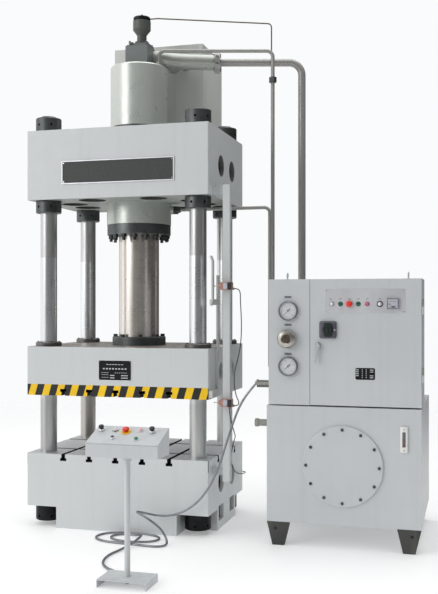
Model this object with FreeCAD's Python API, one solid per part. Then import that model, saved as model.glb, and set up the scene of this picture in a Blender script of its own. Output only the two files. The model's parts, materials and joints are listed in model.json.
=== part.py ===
import FreeCAD, Part
import math
import os

# Four-column hydraulic press with its power unit and control pedestal, in millimetres.
# Origin: on the floor under the cylinder axis. +X points to the power unit, +Y to the back, +Z up.

V = FreeCAD.Vector
RIGHT = V(1, 0, 0)
BACK = V(0, 1, 0)
UP = V(0, 0, 1)
LEFT = V(-1, 0, 0)
FRONT = V(0, -1, 0)
DOWN = V(0, 0, -1)

# ---------------------------------------------------------------- driving dimensions
# press frame
PLATEN_WIDTH = 1370.0
PLATEN_DEPTH = 956.0
EDGE = 5.0
COLUMN_X = 573.0
COLUMN_Y = 355.0
COLUMN_R = 60.0
COLUMN_NECK_R = 55.0
COLUMN_FOOT = 38.0
COLUMN_SHOULDER = 300.0
COLUMN_END = 14.0
SLEEVE_R = 95.0
NUT_R = 92.5
SPANNER_HOLES = 6
SPANNER_HOLE_R = 9.0
SPANNER_HOLE_DEPTH = 22.0
RUNNING_GAP = 0.05
EASY_GAP = 0.5

# bed
FOOT_TOP = 150.0
FOOT_HALF_X = 455.0
FOOT_HALF_Y = 250.0
BED_TOP = 450.0
TABLE_TOP = 530.0
BED_WALL = 30.0
RIB = 25.0
SLOT_PITCH = 200.0
SLOT_CROSS_Y = 225.0
SLOT_NECK = 28.0
SLOT_HEAD = 48.0
SLOT_NECK_DEPTH = 28.0
SLOT_HEAD_DEPTH = 20.0
SIDE_HOLE_Y = 150.0
BED_HOLE_R = 75.0
BED_HOLE_Z = 330.0
POCKET_Y = (87.0, 215.0)
POCKET_Z = (60.0, 166.0)

# slide, shown at the bottom of its stroke
SLIDE_LOW = 950.0
SLIDE_PLATE_TOP = 1030.0
SLIDE_TOP = 1300.0
SLIDE_WALL = 30.0
SLIDE_HOLE_R = 65.0
SLIDE_HOLE_Z = 1120.0
BUSH_R = 75.0
BUSH_FLANGE_R = 94.0
BUSH_FLANGE = 30.0
STROKE = 650.0

# crown
CROWN_LOW = 2360.0
CROWN_TOP = 2860.0
CROWN_WALL = 35.0
CROWN_HOLE_R = 78.0
CROWN_HOLE_Z = 2600.0
UNDER_HOLE_R = 100.0
UNDER_HOLES = ((235.0, 335.0), (470.0, 120.0))
UNDER_NUT = 88.0
TOP_NUT = 105.0
BED_NUT_LOW = 35.0
# height of the spanner holes and, for each column, the direction of the nut's first hole in degrees
BED_NUT_HOLES = (67.0, (-51.0, 20.0, -86.3, 45.0))
UNDER_NUT_HOLES = (2316.0, (-56.0, 10.0, -104.0, 35.0))
TOP_NUT_HOLES = (2912.5, (-52.5, 20.0, -86.4, 45.0))

# cylinder
BARREL_R = 213.5
BARREL_NECK_R = 195.0
BARREL_FOOT = 2929.0
BARREL_TOP = 3386.0
SEAT_RING_R = 210.0
BORE_R = 170.0
BORE_TOP = 3120.0
COLLAR_R = 241.0
COLLAR_LOW = 2200.0
GLAND_LOW = 2123.0
GLAND_R = 238.0
GLAND_SPIGOT = 2220.0
GLAND_BOLT_COUNT = 16
GLAND_BOLT_PCR = 214.0
GLAND_NUT = 24.0
GLAND_STUD_END = 45.0
ROD_R = 150.0
ROD_GROOVE = 14.0
PISTON_TOP = 2360.0
ROD_FLANGE_R = 200.0
ROD_FLANGE = 65.0
ROD_FLANGE_BOLTS = 8
ROD_FLANGE_BOLT_PCR = 177.0

# valves and pipes on the crown
VALVE_X = 22.0
BLOCK_WIDTH = 173.0
BLOCK_DEPTH = 237.0
BLOCK_TOP = 3530.0
PREFILL_R = 67.0
TANK_X = (-315.0, 414.0)
TANK_Y = (290.0, 845.0)
TANK_TOP = 3625.0
BRACKET_X = (-250.0, 340.0)
BRACKET_DROP = 330.0
SUCTION_R = 57.0
SUCTION_Z = 3466.0
SUCTION_Y = 60.0
SUCTION_X = 178.0
RETURN_R = 28.5
RETURN_Z = 3450.0
RETURN_MOUTH_X = 276.0
RETURN_JOINT = (549.0, 230.0)
RETURN_FLANGE_R = 80.0
RETURN_FLANGE = 22.0
PRESSURE_R = 13.5
PRESSURE_Z = 3498.0
PRESSURE_START = (169.0, -32.0)
ROD_PIPE_R = 12.5
ROD_PIPE_Z = 2316.0
PILOT_R = 5.0
PILOT_Z = (3752.0, 3712.0)

# the pipes run from the press in one direction, then drop to the valve manifold on the oil tank
RUN = V(0.963, 0.269, 0).normalize()
RETURN_RUN = 645.5
PRESSURE_DROP = (989.0, 197.0)
ROD_PIPE_DROP = (995.0, 65.0)
PILOT_DROP = (972.0, 228.0)
MANIFOLD_X = (1160.0, 1360.0)
MANIFOLD_Y = (0.0, 260.0)
MANIFOLD_HEIGHT = 480.0
PRESSURE_PORT_Z = 1280.0
ROD_PIPE_PORT_Z = 1120.0
PILOT_PORT_Z = 1372.0

# limit switches and the trip on the slide
BAR_X = (770.0, 820.0)
BAR_Y = (-420.0, -370.0)
BAR_Z = (383.0, 2430.0)
BAR_BRACKET_Z = (2372.0, 420.0)
BAR_BRACKET = 54.0
SWITCH_X = (765.0, 845.0)
SWITCH_DEPTH = 45.0
SWITCH_HEIGHT = 52.0
SWITCH_NOSE = 20.0
SWITCH_Z = {"upper": 1730.0, "lower": 930.0}
PLUNGER_Y = -444.0
GLAND_Y = -442.0
PLUNGER_R = 3.0
PLUNGER_TIP = 714.0
TRIP_FACE = 712.0
TRIP_STRIP = 10.0
TRIP_STRIP_Y = (-468.0, -428.0)
TRIP_STRIP_Z = (1595.0, 1940.0)
TRIP_PLATE_Y = (-300.0, -260.0)
TRIP_PLATE_Z = (1000.0, 1810.0)
TRIP_SPACER_Z = (1040.0, 1290.0)
TRIP_ARM_Z = (1600.0, 1640.0)
STRIKER_Y = (-470.0, -300.0)
STRIKER_Z = (965.0, 1010.0)

# power unit
UNIT_X = (1100.0, 2113.0)
UNIT_FRONT = -510.0
UNIT_BACK = 500.0
UNIT_LOW = 157.0
UNIT_TOP = 930.0
SHEET = 8.0
UNIT_FOOT_WIDTH = 155.0
UNIT_FOOT_TAPER = 38.0
UNIT_FOOT_DEPTH = 40.0
FILLER_Z = 806.0
LEVEL_X = (1980.0, 2028.0)
LEVEL_Z = (652.0, 818.0)
LEVEL_BORDER = 14.0
LEVEL_PROUD = 16.0
MOTOR_X = 1600.0
MOTOR_Y = 190.0
MOTOR_RISE = 172.0
MOTOR_FLANGE_R = 125.0
MOTOR_FINS = 12
PUMP_X = 1450.0
COVER_X = 1607.0
COVER_Z = 544.0
COVER_R = 265.0
COVER_BOLT_R = 240.0
COVER_BOLTS = 12
MANHOLE_R = 215.0
CABINET_X = (1113.0, 2113.0)
CABINET_Z = (938.0, 1771.0)
CABINET_BACK = -160.0
DOOR_LEFT = 1393.0
DOOR_THICK = 20.0
DOOR_SHEET = 3.0
HINGE_X = 2121.5
HINGE_Y = -500.0
HINGE_R = 8.0
HINGE_Z = (1150.0, 1590.0)
KNUCKLE = 50.0
CABINET_RIM = 30.0
CABINET_EYE_INSET = 94.0
CABINET_EYE_Y = -335.0
GAUGE_X = 1247.0
GAUGE_Z = {"upper": 1561.0, "lower": 1193.0}
GAUGE_R = 65.0
GAUGE_RIM = 9.0
GAUGE_PROUD = 26.0
DIAL_PROUD = 8.0
NEEDLE_STAFF_R = 3.0
REGULATOR_X = 1241.0
REGULATOR_Z = 1376.0
REGULATOR_R = 62.0
REGULATOR_STEM_R = 13.0
REGULATOR_FLUTES = 8
PANEL_ROW_Z = 1607.0
LAMP_X = (1537.0, 1768.0)
GREEN_X = (1594.0, 1710.0)
MUSHROOM_X = 1652.0
KEY_X = 1849.0
METER_X = (1895.0, 1971.0)
METER_Z = (1574.0, 1645.0)
ISOLATOR_X = 1513.0
ISOLATOR_Z = 1437.0
HANDLE_X = 1446.0
HANDLE_Z = 1337.0
HANDLE_DROP = 118.0

# pedestal
POLE_X = 522.5
POLE_Y = -1580.0
POLE_R = 17.0
FOOT_PLATE = (300.0, 200.0)
FOOT_PLATE_TOP = 45.0
CONSOLE_X = (310.0, 745.0)
CONSOLE_Y = (-1690.0, -1490.0)
CONSOLE_LOW = 740.0
CONSOLE_FRONT_TOP = 820.0
CONSOLE_BACK_TOP = 892.0
CONSOLE_SHEET = 3.0
CONSOLE_PUSH = {"left": (353.0, -1551.0), "right": (665.0, -1551.0)}
CONSOLE_STOP = (506.0, -1556.0)
CONSOLE_SELECTOR = (438.0, -1549.0)
CONSOLE_LAMPS = ((590.0, -1540.0), (454.0, -1635.0), (598.0, -1638.0))
PUSH_R = 11.0
PUSH_HOLE_GAP = 0.5
MUSHROOM_R = 21.0

# flexible cords
CONDUIT_R = 8.0
CABLE_R = 3.5
ARC_SHARE = 0.45

# conduit from the cabinet's left side, down in front of the bed, along the floor to the pedestal
CONDUIT_ROUTE = [
    (1020, -480, 1071),
    (960, -487, 1002),
    (906, -495, 912),
    (867, -503, 806),
    (831, -511, 696),
    (797, -518, 584),
    (758, -523, 472),
    (706, -526, 364),
    (636, -528, 270),
    (548, -527, 198),
    (442, -524, 152),
    (338, -526, 146),
    (262, -554, 164),
    (220, -626, 190),
    (252, -702, 202),
    (324, -722, 176),
    (386, -700, 126),
    (420, -678, 84),
    (458, -690, 28),
    (474, -746, 8),
    (434, -794, 8),
    (362, -798, 8),
    (276, -784, 8),
    (170, -778, 8),
    (58, -764, 8),
    (-34, -724, 8),
    (-74, -654, 8),
    (-54, -568, 8),
    (22, -512, 8),
    (130, -498, 8),
    (240, -504, 8),
    (330, -534, 8),
    (378, -596, 8),
    (364, -670, 8),
    (290, -712, 8),
    (190, -724, 8),
    (98, -710, 8),
    (36, -660, 8),
    (32, -588, 8),
    (88, -544, 8),
    (170, -548, 10),
    (238, -604, 24),
    (276, -690, 44),
    (284, -782, 44),
    (258, -868, 24),
    (216, -952, 8),
    (194, -1050, 8),
    (202, -1164, 8),
    (238, -1270, 8),
    (304, -1350, 9),
    (374, -1406, 14),
    (440.5, -1466.6, 20),
    (481.5, -1523.3, 20),
]

# cable from the upper limit switch, hanging beside the bar, to the lower one
UPPER_CABLE_ROUTE = [
    (857, -442, 1712),
    (887, -442, 1712),
    (901, -442, 1684),
    (901, -442, 1640),
    (905, -443, 1572),
    (909, -443, 1484),
    (908, -443, 1392),
    (900, -443, 1306),
    (882, -443, 1228),
    (862, -443, 1154),
    (856, -443, 1084),
    (862, -443, 1020),
    (876, -443, 968),
    (892, -442, 938),
    (884, -442, 912),
    (857, -442, 912),
]

# cable from the lower switch behind the bar, across the bed's right side and round its back corner
LOWER_CABLE_ROUTE = [
    (825, -442, 892),
    (825, -442, 862),
    (829, -434, 822),
    (836, -416, 775),
    (840, -384, 732),
    (835, -336, 700),
    (822, -276, 678),
    (802, -206, 658),
    (778, -138, 630),
    (754, -82, 586),
    (734, -40, 530),
    (720, -4, 468),
    (712, 48, 412),
    (708, 120, 366),
    (706, 204, 332),
    (706, 292, 308),
    (708, 372, 294),
    (712, 440, 288),
    (708, 492, 287),
    (675, 516, 288),
    (640, 506, 290),
    (612, 506, 290),
]

CORNERS = [(sx * COLUMN_X, sy * COLUMN_Y) for sx in (-1, 1) for sy in (-1, 1)]
SLOT_XS = [step * SLOT_PITCH for step in (-2, -1, 0, 1, 2)]


# ---------------------------------------------------------------- plain shapes
def box(x, y, z):
    """Box between two values on each axis."""
    return Part.makeBox(x[1] - x[0], y[1] - y[0], z[1] - z[0], V(x[0], y[0], z[0]))


def centred(width, depth, z, at=(0.0, 0.0)):
    """Box with a vertical centre line."""
    half_w = width / 2
    half_d = depth / 2
    return box((at[0] - half_w, at[0] + half_w), (at[1] - half_d, at[1] + half_d), z)


def upright(radius, at, z):
    """Vertical cylinder."""
    return Part.makeCylinder(radius, z[1] - z[0], V(at[0], at[1], z[0]))


def bar(radius, start, direction, length):
    """Cylinder from a point along a direction."""
    return Part.makeCylinder(radius, length, start, direction)


def fused(shapes):
    """One solid from touching shapes."""
    return shapes[0].multiFuse(shapes[1:]).removeSplitter()


def prism(points, direction):
    """Straight extrusion of a closed outline."""
    return Part.Face(Part.makePolygon(points + points[:1])).extrude(direction)


def hexagon(across_flats, base, direction, height):
    """Hexagon head or nut standing on base."""
    turn = FreeCAD.Rotation(UP, direction)
    corner_r = across_flats / math.sqrt(3)
    corners = []
    for step in range(6):
        angle = math.radians(60 * step)
        corners.append(base + turn.multVec(V(corner_r * math.cos(angle), corner_r * math.sin(angle), 0)))
    return prism(corners, direction * height)


def turned(profile, at=(0.0, 0.0)):
    """Solid of revolution about a vertical line through at, from (radius, z) points."""
    points = [V(r, 0, z) for r, z in profile]
    solid = Part.Face(Part.makePolygon(points + points[:1])).revolve(V(0, 0, 0), UP, 360)
    solid.translate(V(at[0], at[1], 0))
    return solid


def turned_about(profile, start, direction):
    """Solid of revolution from (radius, distance) points, its axis running from start along direction."""
    solid = turned(profile)
    placed = FreeCAD.Placement(start, FreeCAD.Rotation(UP, direction))
    return solid.transformGeometry(placed.toMatrix())


def chamfered_block(width, depth, z, edge=EDGE):
    """Block with broken vertical edges."""
    w = width / 2
    d = depth / 2
    outline = []
    for sx, sy, first in ((1, 1, True), (-1, 1, False), (-1, -1, True), (1, -1, False)):
        pair = [V(sx * w, sy * (d - edge), z[0]), V(sx * (w - edge), sy * d, z[0])]
        outline += pair if first else pair[::-1]
    return prism(outline, UP * (z[1] - z[0]))


def route_path(points, share=ARC_SHARE):
    """Straight runs joined by tangent arcs, each arc as large as its two runs allow."""
    corners = [V(*p) for p in points]
    edges = []
    radii = []
    last = corners[0]
    for before, here, after in zip(corners, corners[1:], corners[2:]):
        run_in = here - before
        run_out = after - here
        turn = run_in.getAngle(run_out)
        cut = share * min(run_in.Length, run_out.Length)
        radii.append(cut / math.tan(turn / 2))
        way_in = run_in.normalize()
        way_out = run_out.normalize()
        start = here - way_in * cut
        end = here + way_out * cut
        inward = (way_out - way_in).normalize()
        bulge = radii[-1] * (1 / math.cos(turn / 2) - 1)
        edges.append(Part.LineSegment(last, start).toShape())
        edges.append(Part.Arc(start, here + inward * bulge, end).toShape())
        last = end
    edges.append(Part.LineSegment(last, corners[-1]).toShape())
    return Part.Wire(edges), radii


def bent_path(points, radius):
    """Straight runs joined by arcs of one bending radius."""
    corners = [V(*p) for p in points]
    edges = []
    last = corners[0]
    for before, here, after in zip(corners, corners[1:], corners[2:]):
        way_in = (here - before).normalize()
        way_out = (after - here).normalize()
        turn = way_in.getAngle(way_out)
        cut = radius * math.tan(turn / 2)
        start = here - way_in * cut
        end = here + way_out * cut
        inward = (way_out - way_in).normalize()
        bulge = radius * (1 / math.cos(turn / 2) - 1)
        edges.append(Part.LineSegment(last, start).toShape())
        edges.append(Part.Arc(start, here + inward * bulge, end).toShape())
        last = end
    edges.append(Part.LineSegment(last, corners[-1]).toShape())
    return Part.Wire(edges)


def swept(path, radius, sides=0):
    """Solid tube along a path: round, or a regular polygon of the same area for a free cord."""
    first = path.OrderedEdges[0]
    start = first.valueAt(first.FirstParameter)
    way = first.tangentAt(first.FirstParameter)
    if sides:
        turn = FreeCAD.Rotation(UP, way)
        corner_r = radius * math.sqrt(2 * math.pi / (sides * math.sin(2 * math.pi / sides)))
        corners = []
        for step in range(sides):
            angle = 2 * math.pi * (step + 0.5) / sides
            corners.append(start + turn.multVec(V(corner_r * math.cos(angle), corner_r * math.sin(angle), 0)))
        section = Part.makePolygon(corners + corners[:1])
    else:
        section = Part.Wire(Part.makeCircle(radius, start, way))
    return path.makePipeShell([section], True, False)


def pipe(points, radius, bend):
    return swept(bent_path(points, bend), radius)


def cord(name, points, radius, sides):
    """Free cord with its bend radii and its volume against section times length printed."""
    path, radii = route_path(points)
    solid = swept(path, radius, sides)
    expected = math.pi * radius ** 2 * path.Length
    print(name, "length", round(path.Length), "tightest bends", [round(r) for r in sorted(radii)[:6]],
          "volume ratio", round(solid.Volume / expected, 3))
    return solid


def save(name, shape):
    for solid in shape.Solids:
        if not solid.isClosed() or not solid.isValid() or solid.Volume <= 0:
            raise ValueError(name + " holds a bad solid")
    shape.exportStep("parts/" + name + ".step")


def group(solids):
    """Separate solids kept in one node."""
    return Part.makeCompound(solids)


# ---------------------------------------------------------------- press frame
def plus_block(z, inset=0.0):
    """Plus-shaped foot: full depth in the middle, full width between the corner notches."""
    middle = centred(2 * (FOOT_HALF_X - inset), PLATEN_DEPTH - 2 * inset, z)
    across = centred(PLATEN_WIDTH - 2 * inset, 2 * (FOOT_HALF_Y - inset), z)
    return middle.fuse(across)


def side_windows(radius, height, reach=PLATEN_WIDTH):
    """Pairs of round windows through both end walls."""
    return [bar(radius, V(-reach, sy * SIDE_HOLE_Y, height), RIGHT, 2 * reach) for sy in (-1, 1)]


def make_bed_frame():
    shell = chamfered_block(PLATEN_WIDTH, PLATEN_DEPTH, (FOOT_TOP, BED_TOP)).fuse(plus_block((0, FOOT_TOP)))
    hollow = centred(PLATEN_WIDTH - 2 * BED_WALL, PLATEN_DEPTH - 2 * BED_WALL,
                     (FOOT_TOP + BED_WALL, BED_TOP - BED_WALL))
    shell = shell.cut(hollow.fuse(plus_block((0, FOOT_TOP + BED_WALL), BED_WALL)))
    ribs = [centred(PLATEN_WIDTH - BED_WALL, RIB, (0, BED_TOP - BED_WALL))]
    for sx in (-1, 1):
        ribs.append(centred(RIB, PLATEN_DEPTH - BED_WALL, (0, BED_TOP - BED_WALL), (sx * SLOT_PITCH, 0)))
    sleeves = [upright(SLEEVE_R, corner, (FOOT_TOP + BED_WALL / 2, BED_TOP - BED_WALL / 2)) for corner in CORNERS]
    body = fused([shell] + ribs + sleeves)
    cuts = []
    for corner in CORNERS:
        cuts.append(upright(COLUMN_R + EASY_GAP, corner, (COLUMN_SHOULDER, BED_TOP)))
        cuts.append(upright(COLUMN_NECK_R + EASY_GAP, corner, (FOOT_TOP, COLUMN_SHOULDER)))
    cuts += side_windows(BED_HOLE_R, BED_HOLE_Z)
    for sign in (-1, 1):
        span = sorted((sign * POCKET_Y[0], sign * POCKET_Y[1]))
        cuts.append(box((-PLATEN_WIDTH, PLATEN_WIDTH), span, POCKET_Z))
    return body.cut(cuts)


def tee_slots(face, inward, crossways=()):
    """Tee slots cut from a face: neck at the face, wider head behind it."""
    neck = sorted((face, face + inward * SLOT_NECK_DEPTH))
    head = sorted((face + inward * SLOT_NECK_DEPTH, face + inward * (SLOT_NECK_DEPTH + SLOT_HEAD_DEPTH)))
    cuts = []
    for x in SLOT_XS:
        cuts.append(centred(SLOT_NECK, PLATEN_DEPTH, neck, (x, 0)))
        cuts.append(centred(SLOT_HEAD, PLATEN_DEPTH, head, (x, 0)))
    for y in crossways:
        cuts.append(centred(PLATEN_WIDTH, SLOT_NECK, neck, (0, y)))
        cuts.append(centred(PLATEN_WIDTH, SLOT_HEAD, head, (0, y)))
    return cuts


def make_bed_table():
    plate = chamfered_block(PLATEN_WIDTH, PLATEN_DEPTH, (BED_TOP, TABLE_TOP))
    holes = [upright(COLUMN_R + EASY_GAP, corner, (BED_TOP, TABLE_TOP)) for corner in CORNERS]
    return plate.cut(holes + tee_slots(TABLE_TOP, -1, (-SLOT_CROSS_Y, SLOT_CROSS_Y)))


def make_columns():
    """Columns with a threaded neck at the foot and a turning centre in the top end."""
    top = CROWN_TOP + TOP_NUT + COLUMN_END
    centre_r = 9.0
    profile = [(0, COLUMN_FOOT), (COLUMN_NECK_R - 4, COLUMN_FOOT), (COLUMN_NECK_R, COLUMN_FOOT + 4),
               (COLUMN_NECK_R, COLUMN_SHOULDER), (COLUMN_R, COLUMN_SHOULDER), (COLUMN_R, top - 8),
               (COLUMN_R - 8, top), (centre_r, top), (0, top - centre_r)]
    return group([turned(profile, corner) for corner in CORNERS])


def round_nut(corner, z, bore_r, hole_z, first_hole):
    """Round nut with broken edges and radial spanner holes."""
    broken = 5.0
    nut = turned([(bore_r, z[0]), (NUT_R - broken, z[0]), (NUT_R, z[0] + broken), (NUT_R, z[1] - broken),
                  (NUT_R - broken, z[1]), (bore_r, z[1])], corner)
    cuts = []
    for step in range(SPANNER_HOLES):
        angle = math.radians(first_hole + 360 * step / SPANNER_HOLES)
        way = V(math.cos(angle), math.sin(angle), 0)
        start = V(corner[0], corner[1], hole_z) + way * (NUT_R - SPANNER_HOLE_DEPTH)
        cuts.append(bar(SPANNER_HOLE_R, start, way, SPANNER_HOLE_DEPTH + broken))
    return nut.cut(cuts)


def make_nuts(z, bore_r, holes):
    hole_z, first_holes = holes
    return [round_nut(corner, z, bore_r + RUNNING_GAP, hole_z, first_hole)
            for corner, first_hole in zip(CORNERS, first_holes)]


def make_seat_ring():
    """Ring on the crown under the barrel's shoulder."""
    bore = BARREL_NECK_R + RUNNING_GAP
    broken = 3.0
    return turned([(bore, CROWN_TOP), (SEAT_RING_R, CROWN_TOP), (SEAT_RING_R, BARREL_FOOT - broken),
                   (SEAT_RING_R - broken, BARREL_FOOT), (bore, BARREL_FOOT)])


def make_crown_frame():
    shell = chamfered_block(PLATEN_WIDTH, PLATEN_DEPTH, (CROWN_LOW, CROWN_TOP))
    inside = (CROWN_LOW + CROWN_WALL, CROWN_TOP - CROWN_WALL)
    shell = shell.cut(centred(PLATEN_WIDTH - 2 * CROWN_WALL, PLATEN_DEPTH - 2 * CROWN_WALL, inside))
    rib_span = (inside[0] - CROWN_WALL / 2, inside[1] + CROWN_WALL / 2)
    tube = upright(BARREL_R + CROWN_WALL, (0, 0), rib_span)
    parts = [shell, tube, centred(PLATEN_WIDTH - CROWN_WALL, RIB, rib_span),
             centred(RIB, PLATEN_DEPTH - CROWN_WALL, rib_span)]
    parts += [upright(SLEEVE_R, corner, rib_span) for corner in CORNERS]
    cuts = [upright(BARREL_NECK_R + EASY_GAP, (0, 0), (CROWN_LOW, CROWN_TOP))]
    cuts += [upright(COLUMN_R + EASY_GAP, corner, (CROWN_LOW, CROWN_TOP)) for corner in CORNERS]
    cuts += [window.cut(tube) for window in side_windows(CROWN_HOLE_R, CROWN_HOLE_Z)]
    for x, y in UNDER_HOLES:
        for sx in (-1, 1):
            for sy in (-1, 1):
                cuts.append(upright(UNDER_HOLE_R, (sx * x, sy * y), (CROWN_LOW, CROWN_LOW + CROWN_WALL)))
    return fused(parts).cut(cuts)


# ---------------------------------------------------------------- cylinder
def make_cylinder_barrel():
    """Barrel whose neck stands in the crown, and the collar screwed on it from below, with the rod-side port."""
    oil_way = 60.0
    barrel = turned([(BORE_R, COLLAR_LOW), (BARREL_NECK_R, COLLAR_LOW), (BARREL_NECK_R, BARREL_FOOT),
                     (BARREL_R, BARREL_FOOT), (BARREL_R, BARREL_TOP - 10), (BARREL_R - 10, BARREL_TOP),
                     (oil_way, BARREL_TOP), (oil_way, BORE_TOP), (BORE_R, BORE_TOP)])
    bore = BARREL_NECK_R + RUNNING_GAP
    collar = turned([(bore, COLLAR_LOW), (COLLAR_R, COLLAR_LOW), (COLLAR_R, CROWN_LOW), (bore, CROWN_LOW)])
    port = bar(33, RUN * (COLLAR_R - 8) + UP * ROD_PIPE_Z, RUN, 26)
    return group([barrel, collar.fuse(port).removeSplitter()])


def make_gland_ring():
    bore = ROD_R + RUNNING_GAP
    broken = 2.0
    return turned([(bore, GLAND_LOW), (GLAND_R - broken, GLAND_LOW), (GLAND_R, GLAND_LOW + broken),
                   (GLAND_R, COLLAR_LOW), (BORE_R - RUNNING_GAP, COLLAR_LOW), (BORE_R - RUNNING_GAP, GLAND_SPIGOT),
                   (bore, GLAND_SPIGOT)])


def make_gland_bolts():
    """Nuts on stud ends, hanging round the gland ring."""
    nuts = []
    for step in range(GLAND_BOLT_COUNT):
        angle = 2 * math.pi * (step + 0.5) / GLAND_BOLT_COUNT
        at = V(GLAND_BOLT_PCR * math.cos(angle), GLAND_BOLT_PCR * math.sin(angle), GLAND_LOW)
        nuts.append(hexagon(36, at, DOWN, GLAND_NUT).fuse(bar(12, at, DOWN, GLAND_STUD_END)).removeSplitter())
    return group(nuts)


def rod_groove(ease=0.0):
    """Heights of the groove that holds the rod in its flange."""
    return SLIDE_TOP + 24 + ease, SLIDE_TOP + 48 - ease


def make_piston_rod():
    """One forging: rod with a retaining groove at its foot and the piston head on top."""
    low, high = rod_groove()
    waist = ROD_R - ROD_GROOVE
    head = BORE_R - RUNNING_GAP
    seat = head - 9
    ring = (GLAND_SPIGOT + 45, GLAND_SPIGOT + 60)
    return turned([(0, SLIDE_TOP), (ROD_R - 10, SLIDE_TOP), (ROD_R, SLIDE_TOP + 10), (ROD_R, low), (waist, low),
                   (waist, high), (ROD_R, high), (ROD_R, GLAND_SPIGOT), (head, GLAND_SPIGOT), (head, ring[0]),
                   (seat, ring[0]), (seat, ring[1]), (head, ring[1]), (head, PISTON_TOP - 12),
                   (head - 12, PISTON_TOP), (0, PISTON_TOP)])


def make_rod_flange():
    """Split retaining flange whose lip enters the rod's groove."""
    groove = rod_groove(ease=0.5)
    bore = ROD_R + RUNNING_GAP
    lip = ROD_R - ROD_GROOVE + RUNNING_GAP
    top = SLIDE_TOP + ROD_FLANGE
    ring = turned([(bore, SLIDE_TOP), (ROD_FLANGE_R, SLIDE_TOP), (ROD_FLANGE_R, top - 6), (ROD_FLANGE_R - 6, top),
                   (bore, top), (bore, groove[1]), (lip, groove[1]), (lip, groove[0]), (bore, groove[0])])
    split = 1.0
    halves = []
    for sy in (-1, 1):
        side = sorted((sy * split, sy * 2 * ROD_FLANGE_R))
        halves.append(ring.common(box((-2 * ROD_FLANGE_R, 2 * ROD_FLANGE_R), side, (SLIDE_TOP, top))))
    return group([half.Solids[0] for half in halves])


def make_rod_flange_bolts():
    heads = []
    for step in range(ROD_FLANGE_BOLTS):
        angle = 2 * math.pi * (step + 0.5) / ROD_FLANGE_BOLTS
        at = V(ROD_FLANGE_BOLT_PCR * math.cos(angle), ROD_FLANGE_BOLT_PCR * math.sin(angle), SLIDE_TOP + ROD_FLANGE)
        heads.append(hexagon(30, at, UP, 18))
    return group(heads)


# ---------------------------------------------------------------- slide
def make_slide_frame():
    shell = chamfered_block(PLATEN_WIDTH, PLATEN_DEPTH, (SLIDE_PLATE_TOP, SLIDE_TOP))
    inside = (SLIDE_PLATE_TOP, SLIDE_TOP - SLIDE_WALL - 12)
    shell = shell.cut(centred(PLATEN_WIDTH - 2 * SLIDE_WALL, PLATEN_DEPTH - 2 * SLIDE_WALL, inside))
    rib_span = (SLIDE_PLATE_TOP, SLIDE_TOP - SLIDE_WALL)
    parts = [shell, centred(PLATEN_WIDTH - SLIDE_WALL, RIB, rib_span)]
    for sx in (-1, 1):
        parts.append(centred(RIB, PLATEN_DEPTH - SLIDE_WALL, rib_span, (sx * SLOT_PITCH, 0)))
    parts += [upright(SLEEVE_R, corner, rib_span) for corner in CORNERS]
    body = fused(parts)
    cuts = [upright(BUSH_R + RUNNING_GAP, corner, (SLIDE_PLATE_TOP, SLIDE_TOP)) for corner in CORNERS]
    return body.cut(cuts + side_windows(SLIDE_HOLE_R, SLIDE_HOLE_Z))


def make_slide_plate():
    plate = chamfered_block(PLATEN_WIDTH, PLATEN_DEPTH, (SLIDE_LOW, SLIDE_PLATE_TOP))
    holes = [upright(COLUMN_R + EASY_GAP, corner, (SLIDE_LOW, SLIDE_PLATE_TOP)) for corner in CORNERS]
    return plate.cut(holes + tee_slots(SLIDE_LOW, 1))


def make_slide_bushes():
    bore = COLUMN_R + RUNNING_GAP
    top = SLIDE_TOP + BUSH_FLANGE
    profile = [(bore, SLIDE_PLATE_TOP), (BUSH_R, SLIDE_PLATE_TOP), (BUSH_R, SLIDE_TOP), (BUSH_FLANGE_R, SLIDE_TOP),
               (BUSH_FLANGE_R, top - 5), (BUSH_FLANGE_R - 5, top), (bore, top)]
    return group([turned(profile, corner) for corner in CORNERS])


def make_trip_carrier():
    """Upright plate on the slide's end, arm, dog strip with bent ends, and the lower striker."""
    end = PLATEN_WIDTH / 2
    plate = (end + 5, end + 17)
    spacer = box((end, plate[0]), TRIP_PLATE_Y, TRIP_SPACER_Z)
    upright_plate = box(plate, TRIP_PLATE_Y, TRIP_PLATE_Z)
    arm = box(plate, (TRIP_STRIP_Y[0], TRIP_PLATE_Y[1]), TRIP_ARM_Z)
    inner = TRIP_FACE - TRIP_STRIP
    lean = 13.0
    bent = 37.0
    skew = 5.0
    low, high = TRIP_STRIP_Z
    outline = [(inner - lean, low + skew), (inner, low + bent + 3), (inner, high - bent - 3),
               (inner - lean, high - skew), (TRIP_FACE - lean, high), (TRIP_FACE, high - bent),
               (TRIP_FACE, low + bent), (TRIP_FACE - lean, low)]
    strip = prism([V(x, TRIP_STRIP_Y[0], z) for x, z in outline], BACK * (TRIP_STRIP_Y[1] - TRIP_STRIP_Y[0]))
    striker = box((end, end + 25), STRIKER_Y, STRIKER_Z)
    return group([fused([spacer, upright_plate, arm, strip]), striker])


# ---------------------------------------------------------------- valves and pipes
def make_valve_block():
    block = centred(BLOCK_WIDTH, BLOCK_DEPTH, (BARREL_TOP, BLOCK_TOP), (VALVE_X, 0))
    flange = centred(141, 141, (BLOCK_TOP, BLOCK_TOP + 30), (VALVE_X, 0))
    eye_at = V(VALVE_X - 62, -90, BLOCK_TOP)
    shank = bar(5, eye_at, UP, 14)
    ring = Part.makeTorus(13, 4, eye_at + UP * 28, RIGHT)
    return fused([block, flange, shank, ring])


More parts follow.
